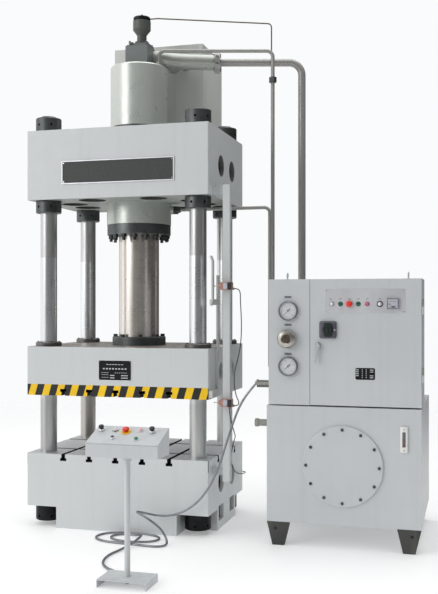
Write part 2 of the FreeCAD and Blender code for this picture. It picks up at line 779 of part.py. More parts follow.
def make_prefill_valve():
    """Turned valve body with a grooved cap and its adjusting screw."""
    base = BLOCK_TOP + 30
    cap_r = 64.0
    groove_r = 60.0
    return turned([(0, base), (52, base), (52, base + 22), (36, base + 26), (36, base + 72),
                   (PREFILL_R, base + 112), (PREFILL_R, base + 178), (groove_r, base + 178),
                   (groove_r, base + 183), (cap_r, base + 183), (cap_r, base + 204), (cap_r - 6, base + 210),
                   (10, base + 212), (10, base + 226), (6, base + 232), (0, base + 232)], (VALVE_X, 0))


def make_prefill_tank():
    """Sheet tank behind the crown on two brackets, open at its two pipe mouths."""
    wall = 6.0
    outer = box(TANK_X, TANK_Y, (CROWN_TOP, TANK_TOP))
    inner = box((TANK_X[0] + wall, TANK_X[1] - wall), (TANK_Y[0] + wall, TANK_Y[1] - wall),
                (CROWN_TOP + wall, TANK_TOP - wall))
    mouths = [bar(SUCTION_R - 5, V(SUCTION_X, TANK_Y[0], SUCTION_Z), BACK, wall),
              bar(RETURN_R - 4, V(RETURN_MOUTH_X, TANK_Y[0], RETURN_Z), BACK, wall)]
    back = PLATEN_DEPTH / 2
    reach = TANK_Y[1] - 30
    foot = CROWN_TOP - BRACKET_DROP
    brackets = []
    for x in BRACKET_X:
        brackets.append(prism([V(x, back, CROWN_TOP), V(x, back, foot), V(x, back + 18, foot),
                               V(x, reach, CROWN_TOP - 20), V(x, reach, CROWN_TOP)], V(12, 0, 0)))
    return fused([outer.cut([inner] + mouths)] + brackets)


def make_suction_tube():
    """Wide elbow from the valve block's right side into the tank."""
    block_side = VALVE_X + BLOCK_WIDTH / 2
    return pipe([(block_side, SUCTION_Y, SUCTION_Z), (SUCTION_X, SUCTION_Y, SUCTION_Z),
                 (SUCTION_X, TANK_Y[0], SUCTION_Z)], SUCTION_R, 65)


def make_return_pipe():
    """Return line from the oil tank up into the prefill tank, with a flange joint beside the crown."""
    joint = V(RETURN_JOINT[0], RETURN_JOINT[1], RETURN_Z)
    elbow_y = joint.y - (joint.x - RETURN_MOUTH_X) * RUN.y / RUN.x
    top_bend = joint + RUN * RETURN_RUN
    elbow = pipe([(RETURN_MOUTH_X, TANK_Y[0], RETURN_Z), (RETURN_MOUTH_X, elbow_y, RETURN_Z), tuple(joint)],
                 RETURN_R, 60)
    line = pipe([tuple(joint), tuple(top_bend), (top_bend.x, top_bend.y, UNIT_TOP)], RETURN_R, 95)
    upper_flange = bar(RETURN_FLANGE_R, joint - RUN * RETURN_FLANGE, RUN, RETURN_FLANGE)
    lower_flange = bar(RETURN_FLANGE_R, joint, RUN, RETURN_FLANGE)
    foot = upright(60, (top_bend.x, top_bend.y), (UNIT_TOP, UNIT_TOP + 20))
    return group([fused([elbow, upper_flange]), fused([line, lower_flange, foot])])


def dropped_pipe(start, drop, z, port_z, radius, bend):
    """Pipe from start along the run, down at drop and across to the manifold."""
    return pipe([*start, (drop[0], drop[1], z), (drop[0], drop[1], port_z), (MANIFOLD_X[0], drop[1], port_z)],
                radius, bend)


def port_nut(across_flats, length, drop, port_z):
    """Union nut where a pipe enters the manifold."""
    return hexagon(across_flats, V(MANIFOLD_X[0] - length, drop[1], port_z), RIGHT, length)


def make_pressure_pipe():
    foot_at = (*PRESSURE_START, BARREL_TOP)
    line = dropped_pipe([foot_at, (*PRESSURE_START, PRESSURE_Z)], PRESSURE_DROP, PRESSURE_Z, PRESSURE_PORT_Z,
                        PRESSURE_R, 45)
    foot = hexagon(46, V(*foot_at), UP, 26)
    union = hexagon(50, V(PRESSURE_DROP[0], PRESSURE_DROP[1], 3262), UP, 40)
    return fused([line, foot, union, port_nut(46, 28, PRESSURE_DROP, PRESSURE_PORT_Z)])


def make_rod_side_pipe():
    """Line from the collar's port, with its banjo block and union nut."""
    outlet = RUN * (COLLAR_R + 18) + UP * ROD_PIPE_Z
    line = dropped_pipe([(outlet.x + ROD_PIPE_R, ROD_PIPE_DROP[1], ROD_PIPE_Z)], ROD_PIPE_DROP, ROD_PIPE_Z,
                        ROD_PIPE_PORT_Z, ROD_PIPE_R, 42)
    fitting = hexagon(56, outlet, RUN, 38)
    nut = hexagon(38, V(outlet.x + 34, ROD_PIPE_DROP[1], ROD_PIPE_Z), RIGHT, 24)
    return fused([line, fitting, nut, port_nut(42, 26, ROD_PIPE_DROP, ROD_PIPE_PORT_Z)])


def make_pilot_tube():
    cap_side = VALVE_X + 64.0
    line = dropped_pipe([(cap_side, 0, PILOT_Z[0]), (cap_side + 60, 0, PILOT_Z[0])], PILOT_DROP, PILOT_Z[1],
                        PILOT_PORT_Z, PILOT_R, 30)
    return fused([line, port_nut(19, 14, PILOT_DROP, PILOT_PORT_Z)])


# ---------------------------------------------------------------- limit switches
def make_switch_bar():
    """Channel welded to two angle brackets, one on the crown's end and one on the bed's."""
    wall = 5.0
    leaf = 8.0
    hollow = box((BAR_X[0] + wall, BAR_X[1] - wall), (BAR_Y[0] + wall, BAR_Y[1]), BAR_Z)
    parts = [box(BAR_X, BAR_Y, BAR_Z).cut(hollow)]
    end = PLATEN_WIDTH / 2
    for low in BAR_BRACKET_Z:
        z = (low, low + BAR_BRACKET)
        parts.append(box((end, BAR_X[1]), (BAR_Y[1], BAR_Y[1] + leaf), z))
        parts.append(box((end, end + leaf), (BAR_Y[1], BAR_Y[1] + 60), z))
    return fused(parts)


def switch_body(height, gland_ways):
    """Case with a nose for the plunger and a cable gland on each of the given sides."""
    y = (BAR_Y[0] - SWITCH_DEPTH, BAR_Y[0])
    z = (height - SWITCH_HEIGHT / 2, height + SWITCH_HEIGHT / 2)
    case = box(SWITCH_X, y, z)
    nose = turned_about([(0, 0), (19, 0), (11, SWITCH_NOSE), (0, SWITCH_NOSE)],
                        V(SWITCH_X[0], PLUNGER_Y, height), LEFT)
    gland_r = 9.0
    gland_length = 12.0
    starts = {"right": (V(SWITCH_X[1], GLAND_Y, height - 18), RIGHT),
              "down": (V(SWITCH_X[1] - 20, GLAND_Y, height - SWITCH_HEIGHT / 2), DOWN)}
    glands = [bar(gland_r, *starts[side], gland_length) for side in gland_ways]
    bore_start = V(SWITCH_X[0] - SWITCH_NOSE - 5, PLUNGER_Y, height)
    bore = bar(PLUNGER_R + RUNNING_GAP, bore_start, RIGHT, 55)
    return fused([case, nose] + glands).cut(bore)


def make_plunger(height):
    """Switch rod with a rounded head at its outer end."""
    length = 72.0
    head = 5.0
    return turned_about([(0, 0), (head - 2, 0), (head, 2), (head, 6), (PLUNGER_R, 9), (PLUNGER_R, length),
                         (0, length)], V(PLUNGER_TIP, PLUNGER_Y, height), RIGHT)


# ---------------------------------------------------------------- power unit
def make_oil_tank():
    """Welded oil tank on four trapezoid feet, with a manhole in front and the pump's hole on top."""
    body = box(UNIT_X, (UNIT_FRONT, UNIT_BACK), (UNIT_LOW, UNIT_TOP))
    room = box((UNIT_X[0] + SHEET, UNIT_X[1] - SHEET), (UNIT_FRONT + SHEET, UNIT_BACK - SHEET),
               (UNIT_LOW + SHEET, UNIT_TOP - SHEET))
    body = body.cut([room, bar(MANHOLE_R, V(COVER_X, UNIT_FRONT - 5, COVER_Z), BACK, SHEET + 10)])
    parts = [body]
    for x0 in (UNIT_X[0], UNIT_X[1] - UNIT_FOOT_WIDTH):
        x1 = x0 + UNIT_FOOT_WIDTH
        for y0 in (UNIT_FRONT + 2, UNIT_BACK - 2 - UNIT_FOOT_DEPTH):
            parts.append(prism([V(x0, y0, UNIT_LOW), V(x1, y0, UNIT_LOW), V(x1 - UNIT_FOOT_TAPER, y0, 0),
                                V(x0 + UNIT_FOOT_TAPER, y0, 0)], BACK * UNIT_FOOT_DEPTH))
    stub = bar(23, V(UNIT_X[0] - 78, UNIT_FRONT + 55, FILLER_Z), RIGHT, 80)
    collar = bar(28, V(UNIT_X[0] - 90, UNIT_FRONT + 55, FILLER_Z), RIGHT, 22)
    return fused(parts + [stub, collar])


def make_tank_cover():
    return turned_about([(0, 0), (COVER_R, 0), (COVER_R, 8), (COVER_R - 5, 12), (0, 12)],
                        V(COVER_X, UNIT_FRONT, COVER_Z), FRONT)


def make_tank_cover_bolts():
    heads = []
    for step in range(COVER_BOLTS):
        angle = 2 * math.pi * step / COVER_BOLTS
        at = V(COVER_X + COVER_BOLT_R * math.sin(angle), UNIT_FRONT - 12, COVER_Z + COVER_BOLT_R * math.cos(angle))
        heads.append(hexagon(19, at, FRONT, 9))
    return group(heads)


def make_level_gauge():
    face = UNIT_FRONT - LEVEL_PROUD
    frame = box(LEVEL_X, (face, UNIT_FRONT), LEVEL_Z)
    end = 34.0
    window = box((LEVEL_X[0] + LEVEL_BORDER, LEVEL_X[1] - LEVEL_BORDER), (face, face + LEVEL_PROUD / 2),
                 (LEVEL_Z[0] + end, LEVEL_Z[1] - end))
    return frame.cut(window)


def motor_end():
    """Centre of the face where motor and pump meet."""
    return V(MOTOR_X, MOTOR_Y, UNIT_TOP + MOTOR_RISE)


def make_motor():
    """Foot-mounted electric motor lying behind the cabinet, with its fan cowl and terminal box."""
    start = motor_end()
    frame_r = 112.0
    cowl_r = 118.0
    length = 412.0
    cowl_start = 300.0
    body = turned_about([(0, 0), (MOTOR_FLANGE_R, 0), (MOTOR_FLANGE_R, 18), (frame_r, 18),
                         (frame_r, cowl_start), (cowl_r, cowl_start), (cowl_r, length - 12),
                         (cowl_r - 18, length), (0, length)], start, RIGHT)
    fins = []
    for step in range(MOTOR_FINS):
        fin = box((MOTOR_X + 30, MOTOR_X + 290), (-3, 3), (frame_r - 8, frame_r + 16))
        fin.rotate(V(0, 0, 0), RIGHT, 360 * step / MOTOR_FINS)
        fin.translate(V(0, start.y, start.z))
        fins.append(fin)
    terminals = box((MOTOR_X + 90, MOTOR_X + 190), (start.y - 50, start.y + 50), (start.z + 110, start.z + 175))
    feet = [box((x, x + 50), (start.y - 105, start.y + 105), (UNIT_TOP, UNIT_TOP + 75))
            for x in (MOTOR_X + 40, MOTOR_X + 250)]
    return fused([body, terminals] + fins + feet)


def make_pump():
    """Bell housing and gear pump with its suction leg into the tank."""
    start = motor_end()
    waist = 88.0
    plate = 100.0
    length = 108.0
    bell = turned_about([(0, 0), (MOTOR_FLANGE_R, 0), (MOTOR_FLANGE_R, 14), (waist, 30), (waist, length - 12),
                         (plate, length - 12), (plate, length), (0, length)], start, LEFT)
    gears = box((PUMP_X - 35, MOTOR_X - length), (start.y - 55, start.y + 55), (start.z - 55, start.z + 55))
    leg = upright(24, (PUMP_X, start.y), (UNIT_TOP, start.z - 50))
    foot = upright(42, (PUMP_X, start.y), (UNIT_TOP, UNIT_TOP + 14))
    return fused([bell, gears, leg, foot])


def make_manifold():
    """Valve manifold with two stacked directional valves and their solenoids."""
    top = UNIT_TOP + MANIFOLD_HEIGHT
    parts = [box(MANIFOLD_X, MANIFOLD_Y, (UNIT_TOP, top))]
    middle_x = (MANIFOLD_X[0] + MANIFOLD_X[1]) / 2
    for y in (70.0, 190.0):
        parts.append(box((middle_x - 45, middle_x + 45), (y - 32, y + 32), (top, top + 65)))
        for sx in (-1, 1):
            parts.append(bar(22, V(middle_x, y, top + 34), RIGHT * sx, 96))
    return fused(parts)


def make_cabinet_shell():
    """Sheet cabinet: fixed gauge panel on the left, open behind the door, fixed knuckles on the right."""
    shell_front = UNIT_FRONT + DOOR_THICK + 1
    wall = DOOR_SHEET
    outer = fused([box(CABINET_X, (shell_front, CABINET_BACK), CABINET_Z),
                   box((CABINET_X[0], DOOR_LEFT - 3), (UNIT_FRONT, shell_front), CABINET_Z)])
    inner = fused([box((CABINET_X[0] + wall, CABINET_X[1] - wall), (shell_front + wall, CABINET_BACK - wall),
                       (CABINET_Z[0] + wall, CABINET_Z[1] - wall)),
                   box((CABINET_X[0] + wall, DOOR_LEFT - 3 - wall), (UNIT_FRONT + wall, shell_front + wall),
                       (CABINET_Z[0] + wall, CABINET_Z[1] - wall))])
    doorway = box((DOOR_LEFT + CABINET_RIM, CABINET_X[1] - CABINET_RIM), (shell_front - 5, shell_front + wall + 5),
                  (CABINET_Z[0] + CABINET_RIM, CABINET_Z[1] - CABINET_RIM))
    body = outer.cut([inner, doorway])
    holes = [bar(GAUGE_R - GAUGE_RIM + 1, V(GAUGE_X, UNIT_FRONT - 5, z), BACK, wall + 10) for z in GAUGE_Z.values()]
    holes.append(bar(REGULATOR_STEM_R + RUNNING_GAP, V(REGULATOR_X, UNIT_FRONT - 5, REGULATOR_Z), BACK, wall + 10))
    parts = [body.cut(holes)]
    for z in HINGE_Z:
        knuckle = (z - KNUCKLE, z - 1)
        leaf = box((CABINET_X[1], CABINET_X[1] + 4), (shell_front + 2, shell_front + 40), knuckle)
        arm = box((CABINET_X[1], HINGE_X), (HINGE_Y + 3, shell_front + 6), knuckle)
        pin = upright(HINGE_R / 2, (HINGE_X, HINGE_Y), (z - 1, z + 38))
        parts += [leaf, arm, upright(HINGE_R, (HINGE_X, HINGE_Y), knuckle), pin]
    for x in (CABINET_X[0] + CABINET_EYE_INSET, CABINET_X[1] - CABINET_EYE_INSET):
        eye_at = V(x, CABINET_EYE_Y, CABINET_Z[1])
        parts += [bar(14, eye_at, UP, 6), bar(6, eye_at, UP, 18), Part.makeTorus(13, 5, eye_at + UP * 32, BACK)]
    return fused(parts)


def make_pressure_gauges():
    """Two dial cases, each open in front with its dial at the bottom of the recess."""
    bore = NEEDLE_STAFF_R + RUNNING_GAP
    dial_r = GAUGE_R - GAUGE_RIM
    depth = 30.0
    stem_r = 12.0
    profile = [(bore, DIAL_PROUD), (dial_r, DIAL_PROUD), (dial_r, GAUGE_PROUD), (GAUGE_R - 3, GAUGE_PROUD),
               (GAUGE_R, GAUGE_PROUD - 4), (GAUGE_R, 0), (dial_r, 0), (dial_r, -depth), (stem_r, -depth),
               (stem_r, -depth - 20), (bore, -depth - 20)]
    return group([turned_about(profile, V(GAUGE_X, UNIT_FRONT, z), FRONT) for z in GAUGE_Z.values()])


def make_needle(height):
    """Pointer with a counterweight tail on its hub and staff."""
    at = V(GAUGE_X, UNIT_FRONT, height)
    staff = bar(NEEDLE_STAFF_R, at + BACK * 30, FRONT, 43)
    hub = bar(7, at + FRONT * 13, FRONT, 5)
    blade = prism([at + V(-46, -14, 0), at + V(0, -14, 2.6), at + V(20, -14, 5), at + V(20, -14, -5),
                   at + V(0, -14, -2.6)], V(0, -2, 0))
    blade.rotate(at, FRONT, 45)
    return fused([staff, hub, blade])


def make_regulator_knob():
    """Large turned knob with finger flutes on a stem through the gauge panel."""
    at = V(REGULATOR_X, UNIT_FRONT, REGULATOR_Z)
    knob = turned_about([(0, -60), (REGULATOR_STEM_R, -60), (REGULATOR_STEM_R, 8), (REGULATOR_R - 6, 8),
                         (REGULATOR_R, 14), (REGULATOR_R, 40), (REGULATOR_R - 8, 52), (34, 56), (28, 50), (0, 50)],
                        at, FRONT)
    flute_r = 13.0
    flutes = []
    for step in range(REGULATOR_FLUTES):
        angle = 2 * math.pi * step / REGULATOR_FLUTES
        side = V(math.cos(angle), 0, math.sin(angle)) * (REGULATOR_R + 9)
        flutes.append(bar(flute_r, at + side + FRONT * 4, FRONT, 60))
    return knob.cut(flutes)


def make_cabinet_door():
    """Pan-shaped door with holes for what it carries and its own hinge knuckles."""
    x = (DOOR_LEFT, CABINET_X[1])
    z = (CABINET_Z[0] + 2, CABINET_Z[1] - 2)
    y = (UNIT_FRONT, UNIT_FRONT + DOOR_THICK)
    wall = DOOR_SHEET
    pan = box(x, y, z).cut(box((x[0] + wall, x[1] - wall), (y[0] + wall, y[1]), (z[0] + wall, z[1] - wall)))
    holes = [(GREEN_X[0], PANEL_ROW_Z, PUSH_R + PUSH_HOLE_GAP), (GREEN_X[1], PANEL_ROW_Z, PUSH_R + PUSH_HOLE_GAP),
             (MUSHROOM_X, PANEL_ROW_Z, PUSH_R + PUSH_HOLE_GAP), (KEY_X, PANEL_ROW_Z, PUSH_R + RUNNING_GAP),
             (ISOLATOR_X, ISOLATOR_Z, 10 + RUNNING_GAP), (HANDLE_X, HANDLE_Z, 9 + RUNNING_GAP)]
    pan = pan.cut([bar(r, V(hx, y[0] - 5, hz), BACK, wall + 10) for hx, hz, r in holes])
    parts = [pan]
    for height in HINGE_Z:
        span = (height, height + KNUCKLE)
        leaf = box((x[1] - wall, HINGE_X), (HINGE_Y - 2, HINGE_Y + 2), span)
        parts += [upright(HINGE_R, (HINGE_X, HINGE_Y), span), leaf]
    door = fused(parts)
    return door.cut([upright(HINGE_R / 2 + RUNNING_GAP, (HINGE_X, HINGE_Y), (height - 1, height + 40))
                     for height in HINGE_Z])


def make_door_instruments():
    """Two lamps, the square meter, the isolator's base and the handle's rose."""
    face = UNIT_FRONT
    solids = []
    for x in LAMP_X:
        solids.append(turned_about([(0, 0), (15, 0), (15, 5), (11, 6), (11, 14), (7, 18), (0, 18)],
                                   V(x, face, PANEL_ROW_Z), FRONT))
    solids.append(box(METER_X, (face - 22, face), METER_Z))
    base = centred(112, 16, (ISOLATOR_Z - 56, ISOLATOR_Z + 56), (ISOLATOR_X, face - 8))
    solids.append(base.cut(bar(10 + RUNNING_GAP, V(ISOLATOR_X, face - 20, ISOLATOR_Z), BACK, 25)))
    rose = bar(19, V(HANDLE_X, face, HANDLE_Z), FRONT, 8)
    solids.append(rose.cut(bar(9 + RUNNING_GAP, V(HANDLE_X, face + 5, HANDLE_Z), FRONT, 20)))
    return group(solids)


def make_door_handle():
    """Lever hanging from its shaft, with the latch cam inside the door."""
    at = V(HANDLE_X, UNIT_FRONT, HANDLE_Z)
    shaft = bar(9, at + BACK * 12, FRONT, 42)
    head = turned_about([(0, 9), (16, 9), (16, 30), (12, 36), (0, 36)], at, FRONT)
    lever = prism([at + V(-11, -16, 0), at + V(11, -16, 0), at + V(2, -24, -HANDLE_DROP),
                   at + V(-16, -24, -HANDLE_DROP)], V(0, -11, 0))
    cam = box((HANDLE_X - 9, HANDLE_X + 9), (UNIT_FRONT + 8, UNIT_FRONT + 12), (HANDLE_Z - 9, HANDLE_Z + 36))
    return fused([shaft, head, lever, cam])


def make_isolator_knob():
    at = V(ISOLATOR_X, UNIT_FRONT, ISOLATOR_Z)
    disc = turned_about([(0, -12), (10, -12), (10, 17), (36, 17), (34, 26), (0, 26)], at, FRONT)
    grip = prism([at + V(-9, -26, -33), at + V(9, -26, -33), at + V(9, -26, 33), at + V(-9, -26, 33)], V(0, -22, 0))
    return fused([disc, grip])


def push_button(face, outward, proud=9.0):
    """Flat push button running in its panel hole."""
    return turned_about([(0, -26), (PUSH_R, -26), (PUSH_R, proud - 2), (PUSH_R - 2, proud), (0, proud)],
                        face, outward)


def mushroom_button(face, outward, radius):
    """Mushroom-headed stop button on its stem."""
    return turned_about([(0, -26), (PUSH_R, -26), (PUSH_R, 14), (radius - 3, 14), (radius, 18), (radius - 2, 24),
                         (radius * 0.6, 29), (0, 31)], face, outward)


def rotary_switch(face, outward):
    """Turning head with a raised grip across it, on a round stem."""
    head = turned_about([(0, -26), (PUSH_R, -26), (PUSH_R, 2), (14, 2), (13, 8), (0, 8)], face, outward)
    turn = FreeCAD.Rotation(UP, outward)
    grip = Part.makeBox(6, 24, 12, V(-3, -12, 7))
    grip.Placement = FreeCAD.Placement(face, turn)
    return fused([head, grip])


def door_point(x):
    return V(x, UNIT_FRONT, PANEL_ROW_Z)


# ---------------------------------------------------------------- pedestal
def make_pedestal_stand():
    """Foot plate bent down at its two ends, with the welded pole and its elbow collar."""
    half_x = FOOT_PLATE[0] / 2
    half_y = FOOT_PLATE[1] / 2
    wall = 5.0
    plate = box((POLE_X - half_x, POLE_X + half_x), (POLE_Y - half_y, POLE_Y + half_y), (0, FOOT_PLATE_TOP))
    under = box((POLE_X - half_x + wall, POLE_X + half_x - wall), (POLE_Y - half_y, POLE_Y + half_y),
                (0, FOOT_PLATE_TOP - wall))
    hole = upright(POLE_R - 4, (POLE_X, POLE_Y), (0, FOOT_PLATE_TOP))
    pole = upright(POLE_R, (POLE_X, POLE_Y), (FOOT_PLATE_TOP - 1, CONSOLE_LOW))
    pole = pole.cut(upright(POLE_R - 4, (POLE_X, POLE_Y), (FOOT_PLATE_TOP - 1, CONSOLE_LOW)))
    collar = upright(POLE_R + 9, (POLE_X, POLE_Y), (CONSOLE_LOW - 30, CONSOLE_LOW))
    collar = collar.cut(upright(POLE_R - 4, (POLE_X, POLE_Y), (CONSOLE_LOW - 30, CONSOLE_LOW)))
    return fused([plate.cut([under, hole]), pole, collar])


def console_rise():
    """Height gained by the sloping panel for each millimetre towards the back."""
    return (CONSOLE_BACK_TOP - CONSOLE_FRONT_TOP) / (CONSOLE_Y[1] - CONSOLE_Y[0])


def panel_point(x, y):
    return V(x, y, CONSOLE_FRONT_TOP + (y - CONSOLE_Y[0]) * console_rise())


def panel_normal():
    return V(0, -console_rise(), 1).normalize()


def make_console_box():
    """Sheet box with a sloping panel, drilled for its controls."""
    def outline(inset):
        rise = console_rise()
        low = CONSOLE_LOW + inset
        front = CONSOLE_Y[0] + inset
        back = CONSOLE_Y[1] - inset
        lift = inset * math.sqrt(1 + rise ** 2)
        x = CONSOLE_X[0] + inset
        return [V(x, front, low), V(x, back, low),
                V(x, back, CONSOLE_BACK_TOP - lift - inset * rise),
                V(x, front, CONSOLE_FRONT_TOP - lift + inset * rise)]
    width = CONSOLE_X[1] - CONSOLE_X[0]
    outer = prism(outline(0), RIGHT * width)
    inner = prism(outline(CONSOLE_SHEET), RIGHT * (width - 2 * CONSOLE_SHEET))
    cuts = [inner, upright(POLE_R - 4, (POLE_X, POLE_Y), (CONSOLE_LOW - 5, CONSOLE_LOW + 10))]
    normal = panel_normal()
    for at in list(CONSOLE_PUSH.values()) + [CONSOLE_STOP]:
        cuts.append(bar(PUSH_R + PUSH_HOLE_GAP, panel_point(*at) - normal * 10, normal, 20))
    cuts.append(bar(PUSH_R + RUNNING_GAP, panel_point(*CONSOLE_SELECTOR) - normal * 10, normal, 20))
    return outer.cut(cuts)


def make_console_instruments():
    """Lamps standing on the sloping panel."""
    normal = panel_normal()
    profile = [(0, 0), (14, 0), (14, 5), (11, 6), (11, 14), (8, 17), (0, 17)]
    return group([turned_about(profile, panel_point(*at), normal) for at in CONSOLE_LAMPS])


# ---------------------------------------------------------------- cords and what they meet
def make_cable_fittings():
    """Connector on the cabinet, elbow under the pedestal and the junction box behind the bed."""
    start = V(*CONDUIT_ROUTE[0])
    way = (V(*CONDUIT_ROUTE[1]) - start).normalize()
    plug = fused([box((1030, CABINET_X[0]), (-503, -457), (1048, 1094)), bar(13, start, way * -1, 30)])
    end = V(*CONDUIT_ROUTE[-1])
    before = V(*CONDUIT_ROUTE[-2])
    inlet = (end - before).normalize()
    centre = V(POLE_X, POLE_Y, end.z)
    elbow = fused([bar(10, end, inlet, (centre - end).Length),
                   upright(POLE_R - 4.5, (POLE_X, POLE_Y), (end.z - 13, 75))])
    back = PLATEN_DEPTH / 2
    junction = box((520, 600), (back, back + 55), (250, 330))
    last = V(*LOWER_CABLE_ROUTE[-1])
    entry = (last - V(*LOWER_CABLE_ROUTE[-2])).normalize()
    nipple = bar(7, last, entry, 20)
    return group([plug, elbow, fused([junction, nipple])])


def main():
    os.makedirs("parts", exist_ok=True)
    normal = panel_normal()
    nodes = {
        "bed_frame": make_bed_frame(),
        "bed_table": make_bed_table(),
        "columns": make_columns(),
        "bed_nuts": group(make_nuts((BED_NUT_LOW, FOOT_TOP), COLUMN_NECK_R, BED_NUT_HOLES)),
        "crown_under_nuts": group(make_nuts((CROWN_LOW - UNDER_NUT, CROWN_LOW), COLUMN_R, UNDER_NUT_HOLES)),
        "crown_top_nuts": group(make_nuts((CROWN_TOP, CROWN_TOP + TOP_NUT), COLUMN_R, TOP_NUT_HOLES)
                                + [make_seat_ring()]),
        "crown_frame": make_crown_frame(),
        "cylinder_barrel": make_cylinder_barrel(),
        "gland_ring": make_gland_ring(),
        "gland_bolts": make_gland_bolts(),
        "valve_block": make_valve_block(),
        "prefill_valve": make_prefill_valve(),
        "prefill_tank": make_prefill_tank(),
        "suction_tube": make_suction_tube(),
        "return_pipe": make_return_pipe(),
        "pressure_pipe": make_pressure_pipe(),
        "rod_side_pipe": make_rod_side_pipe(),
        "pilot_tube": make_pilot_tube(),
        "switch_bar": make_switch_bar(),
        "limit_switches": group([switch_body(SWITCH_Z["upper"], ["right"]),
                                 switch_body(SWITCH_Z["lower"], ["right", "down"])]),
        "oil_tank": make_oil_tank(),
        "tank_cover": make_tank_cover(),
        "tank_cover_bolts": make_tank_cover_bolts(),
        "level_gauge": make_level_gauge(),
        "motor": make_motor(),
        "pump": make_pump(),
        "manifold": make_manifold(),
        "cabinet_shell": make_cabinet_shell(),
        "pressure_gauges": make_pressure_gauges(),
        "pedestal_stand": make_pedestal_stand(),
        "console_box": make_console_box(),
        "console_instruments": make_console_instruments(),
        "flexible_conduit": cord("conduit", CONDUIT_ROUTE, CONDUIT_R, 8),
        "cable_fittings": make_cable_fittings(),
        "switch_cable_upper": cord("upper cable", UPPER_CABLE_ROUTE, CABLE_R, 6),
        "switch_cable_lower": cord("lower cable", LOWER_CABLE_ROUTE, CABLE_R, 6),
        "slide_frame": make_slide_frame(),
        "slide_plate": make_slide_plate(),
        "slide_bushes": make_slide_bushes(),
        "piston_rod": make_piston_rod(),
        "rod_flange": make_rod_flange(),
        "rod_flange_bolts": make_rod_flange_bolts(),
        "trip_carrier": make_trip_carrier(),
        "cabinet_door": make_cabinet_door(),
        "door_instruments": make_door_instruments(),
        "door_handle": make_door_handle(),
        "isolator_knob": make_isolator_knob(),
        "start_button": push_button(door_point(GREEN_X[0]), FRONT),
        "run_button": push_button(door_point(GREEN_X[1]), FRONT),
        "cabinet_stop_button": mushroom_button(door_point(MUSHROOM_X), FRONT, MUSHROOM_R),
        "key_switch": rotary_switch(door_point(KEY_X), FRONT),
        "regulator_knob": make_regulator_knob(),
        "pedestal_stop_button": mushroom_button(panel_point(*CONSOLE_STOP), normal, MUSHROOM_R),
        "pedestal_selector": rotary_switch(panel_point(*CONSOLE_SELECTOR), normal),
    }
    for side, height in SWITCH_Z.items():
        nodes[side + "_plunger"] = make_plunger(height)
    for side, height in GAUGE_Z.items():
        nodes[side + "_needle"] = make_needle(height)
    for side, at in CONSOLE_PUSH.items():
        nodes["pedestal_push_" + side] = push_button(panel_point(*at), normal)
    for name, shape in nodes.items():
        save(name, shape)
    print(len(nodes), "nodes")


main()
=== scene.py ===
import json
import math

import bmesh
import bpy
from mathutils import Matrix, Vector

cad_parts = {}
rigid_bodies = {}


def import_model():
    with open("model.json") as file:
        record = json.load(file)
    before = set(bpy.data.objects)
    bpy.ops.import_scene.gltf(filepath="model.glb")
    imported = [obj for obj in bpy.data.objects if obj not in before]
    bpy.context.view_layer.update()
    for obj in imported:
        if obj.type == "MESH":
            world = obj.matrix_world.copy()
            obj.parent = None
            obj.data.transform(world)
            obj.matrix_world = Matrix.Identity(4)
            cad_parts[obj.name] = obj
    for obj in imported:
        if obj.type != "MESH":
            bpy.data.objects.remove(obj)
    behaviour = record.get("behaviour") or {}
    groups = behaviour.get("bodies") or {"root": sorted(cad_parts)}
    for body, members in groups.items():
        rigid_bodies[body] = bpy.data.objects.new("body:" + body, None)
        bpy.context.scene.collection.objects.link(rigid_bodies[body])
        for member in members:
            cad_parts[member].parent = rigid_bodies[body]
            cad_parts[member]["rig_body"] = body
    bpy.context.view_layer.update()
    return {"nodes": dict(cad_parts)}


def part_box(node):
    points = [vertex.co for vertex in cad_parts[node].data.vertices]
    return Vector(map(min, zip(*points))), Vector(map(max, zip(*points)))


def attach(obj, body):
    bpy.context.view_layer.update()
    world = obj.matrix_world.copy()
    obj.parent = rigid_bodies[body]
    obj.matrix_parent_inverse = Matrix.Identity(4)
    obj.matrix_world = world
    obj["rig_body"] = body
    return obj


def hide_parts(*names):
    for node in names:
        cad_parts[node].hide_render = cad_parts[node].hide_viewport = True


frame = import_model()

# Looks of a four-column hydraulic press with its power unit and control pedestal, in metres.
# +X points to the power unit, +Y to the back, +Z up; the origin is on the floor under the cylinder.

# ---------------------------------------------------------------- sizes and places
WELD = 0.00002
FLAT = math.radians(0.5)
SHARP = math.radians(35)
SMOOTH = math.radians(38)
QUARTER = math.pi / 2

PLATEN_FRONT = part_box("crown_frame")[0].y
CABINET_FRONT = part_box("cabinet_door")[0].y
CONSOLE_LOW, CONSOLE_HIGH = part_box("console_box")
CONSOLE_FRONT_TOP = 0.820
CONSOLE_RISE = (CONSOLE_HIGH.z - CONSOLE_FRONT_TOP) / (CONSOLE_HIGH.y - CONSOLE_LOW.y)

# plates, as (X from, to) and (Z from, to)
CROWN_PLATE = ((-0.410, 0.438), (2.465, 2.631))
SLIDE_PLATE = ((-0.128, 0.124), (1.066, 1.212))
RATING_PLATE = ((1.692, 1.818), (1.114, 1.190))
CONTROL_PLATE = ((1.492, 2.010), (1.549, 1.705))
PLATE_THICKNESS = 0.0015

# instruments on the cabinet
GAUGE_X = 1.247
GAUGE_HEIGHTS = {"upper": 1.561, "lower": 1.193}
LABEL_HEIGHTS = {"upper": 1.653, "middle": 1.469, "lower": 1.276}
START_X = 1.594
STOP_X = 1.652
RUN_X = 1.710
PINK_X = 1.768
KEY_X = 1.849
BUTTON_HEIGHT = 1.607
ISOLATOR_X = 1.513
ISOLATOR_HEIGHT = 1.437
LEVEL_X = 2.004

# pipes behind the cylinder
VALVE_X = 0.022
SUCTION_HEIGHT = 3.466
TUBE_END = (0.109, 0.060, SUCTION_HEIGHT)
RETURN_HEIGHT = 3.450
TANK_FRONT = 0.2895

